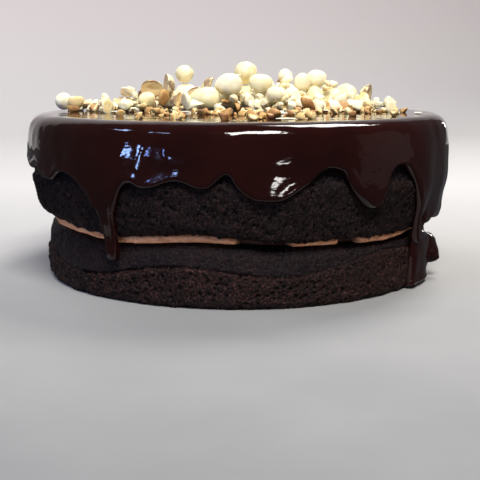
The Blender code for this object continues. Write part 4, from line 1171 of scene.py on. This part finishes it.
def makeChopped(restAt, choppedLook, sliverLook):
    # The solid's own bits and flakes first, at their places and sizes, then more set down on what is there
    rng = np.random.default_rng(chopped["seed"])
    highest = glaze["top"] + chopped["highest"]
    bits, thin = [], []
    for island in islandsAbove(*nodeMesh("glaze"), glaze["top"] + 0.05):
        low, high = island.min(axis=0), island.max(axis=0)
        x, y = (low + high)[:2] / 2
        if high[2] - glaze["top"] < chopped["flakeHeight"]:
            flat = island[:, :2] - island[:, :2].mean(axis=0)
            way = np.linalg.svd(flat, full_matrices=False)[2]
            length, width = np.ptp(flat @ way.T, axis=0)
            thin.append(sliver(x, y, high[2] - 0.3, length, width, math.atan2(way[0, 1], way[0, 0]), 0, rng))
        else:
            tall = (high[2] - glaze["top"]) / (1 - chopped["sink"])
            sizes = (high[0] - low[0], high[1] - low[1], tall)
            bits.append(chopBit(x, y, glaze["top"], sizes, chopped["rows"], chopped["columns"], rng))
    for count, middleX, middleY, spreadX, spreadY in chopped["clusters"]:
        for _ in range(count):
            x, y = middleX + rng.normal() * spreadX, middleY + rng.normal() * spreadY
            size = rng.uniform(*chopped["sizes"])
            if math.hypot(x, y) > chopped["rim"]:
                continue
            bottom, normal = restAt(x, y)
            if normal.z < chopped["steepest"] or bottom > highest:
                continue
            sizes = size * rng.uniform(0.75, 1.15, 3)
            bits.append(chopBit(x, y, bottom, sizes, chopped["rows"], chopped["columns"], rng))
    crumbs = []
    spreadX, spreadY, middleY = chopped["crumbSpread"]
    for _ in range(chopped["crumbs"]):
        x, y = rng.normal() * spreadX, rng.normal() * spreadY + middleY
        if math.hypot(x, y) > chopped["rim"]:
            continue
        bottom, normal = restAt(x, y)
        if normal.z > chopped["crumbSteepest"] and bottom < highest:
            sizes = rng.uniform(*chopped["crumbSizes"]) * rng.uniform(0.7, 1.2, 3)
            crumbs.append(chopBit(x, y, bottom, sizes, chopped["crumbRows"], chopped["crumbColumns"], rng))
    spreadX, spreadY, middleY = slivers["spread"]
    for _ in range(slivers["extra"]):
        x, y = rng.normal() * spreadX, rng.normal() * spreadY + middleY
        bottom, normal = restAt(x, y)
        if math.hypot(x, y) < chopped["rim"] and normal.z > slivers["steepest"]:
            length, width = rng.uniform(*slivers["length"]), rng.uniform(*slivers["width"])
            tilt = rng.uniform(-0.25, 0.25)
            z = bottom + 0.3 + abs(math.sin(tilt)) * length * 0.4
            thin.append(sliver(x, y, z, length, width, rng.uniform(0, turn), tilt, rng))
    kinds = (
        ("choppedBits", bits, choppedLook), ("bedOfPieces", bedPieces(rng), choppedLook),
        ("fineCrumbs", crumbs, choppedLook), ("slivers", thin, sliverLook),
    )
    for name, shapes, finish in kinds:
        points, quads, triangles, attributes = joinShapes(shapes)
        makePiece(name, points, quads, triangles, finish, "hazelnut", ("glaze",), attributes)


def choppedFinish():
    # Chopped nuts: cream inside, tan where roasted, brown where the skin is left
    material, tree, shader, place = startFinish(
        "choppedNut", 0.55, IOR=1.46, Subsurface_Weight=0.08, Subsurface_Scale=0.001
    )
    tone, face = addAttribute(tree, "tone"), addAttribute(tree, "face")
    mixed = addMath(tree, "ADD", addMath(tree, "MULTIPLY", tone, 0.65), addMath(tree, "MULTIPLY", face, 0.3))
    mottle = addNoise(tree, place, 1.1, 3, 0.6)
    mixed = addMath(tree, "ADD", mixed, addMath(tree, "MULTIPLY", mottle, 0.25))
    colour = addRamp(
        tree, mixed, (0.36, (0.93, 0.85, 0.60)), (0.52, (0.86, 0.67, 0.33)), (0.70, (0.62, 0.37, 0.12)),
        (0.90, (0.38, 0.18, 0.06)), (1.0, (0.16, 0.06, 0.025)),
    )
    closeFinish(tree, shader, colour, addRamp(tree, mottle, (0.3, 0.42), (0.7, 0.7)))
    addBump(tree, shader, (mottle, 0.16))
    return material


def sliverFinish():
    # Pale slivers, a little translucent, with a warmer grain along them
    material, tree, shader, place = startFinish(
        "paleSliver", 0.42, IOR=1.46, Subsurface_Weight=0.15, Subsurface_Scale=0.001
    )
    grain = addNoise(tree, place, 1.4, 3, 0.6)
    light = addRamp(tree, grain, (0.3, (0.83, 0.77, 0.60)), (0.65, (0.92, 0.89, 0.79)))
    colour = tint(tree, addAttribute(tree, "tone"), 0.35, light, (0.80, 0.66, 0.38))
    closeFinish(tree, shader, colour, addRamp(tree, grain, (0.3, 0.34), (0.7, 0.55)))
    addBump(tree, shader, (grain, 0.08))
    return material


def main():
    makeCamera()
    makeStudio()
    cocoa = spongeFinish()
    makeSponge("lowerSponge", "lower_sponge", lowerSection, lowerLedge, 0, sponge["lowerTop"], cocoa, 101)
    middle = sponge["lowerTop"] + 2 * sponge["touchGap"] + filling["thickness"]
    makeSponge("upperSponge", "upper_sponge", upperSection, upperLedge, middle, sponge["upperTop"], cocoa, 201)
    makeFilling(fillingFinish())
    pour = makeGlaze(glazeFinish())
    heap = makeNuts(kernelFinish())
    makeChopped(groundUnder([pour, *heap]), choppedFinish(), sliverFinish())


main()
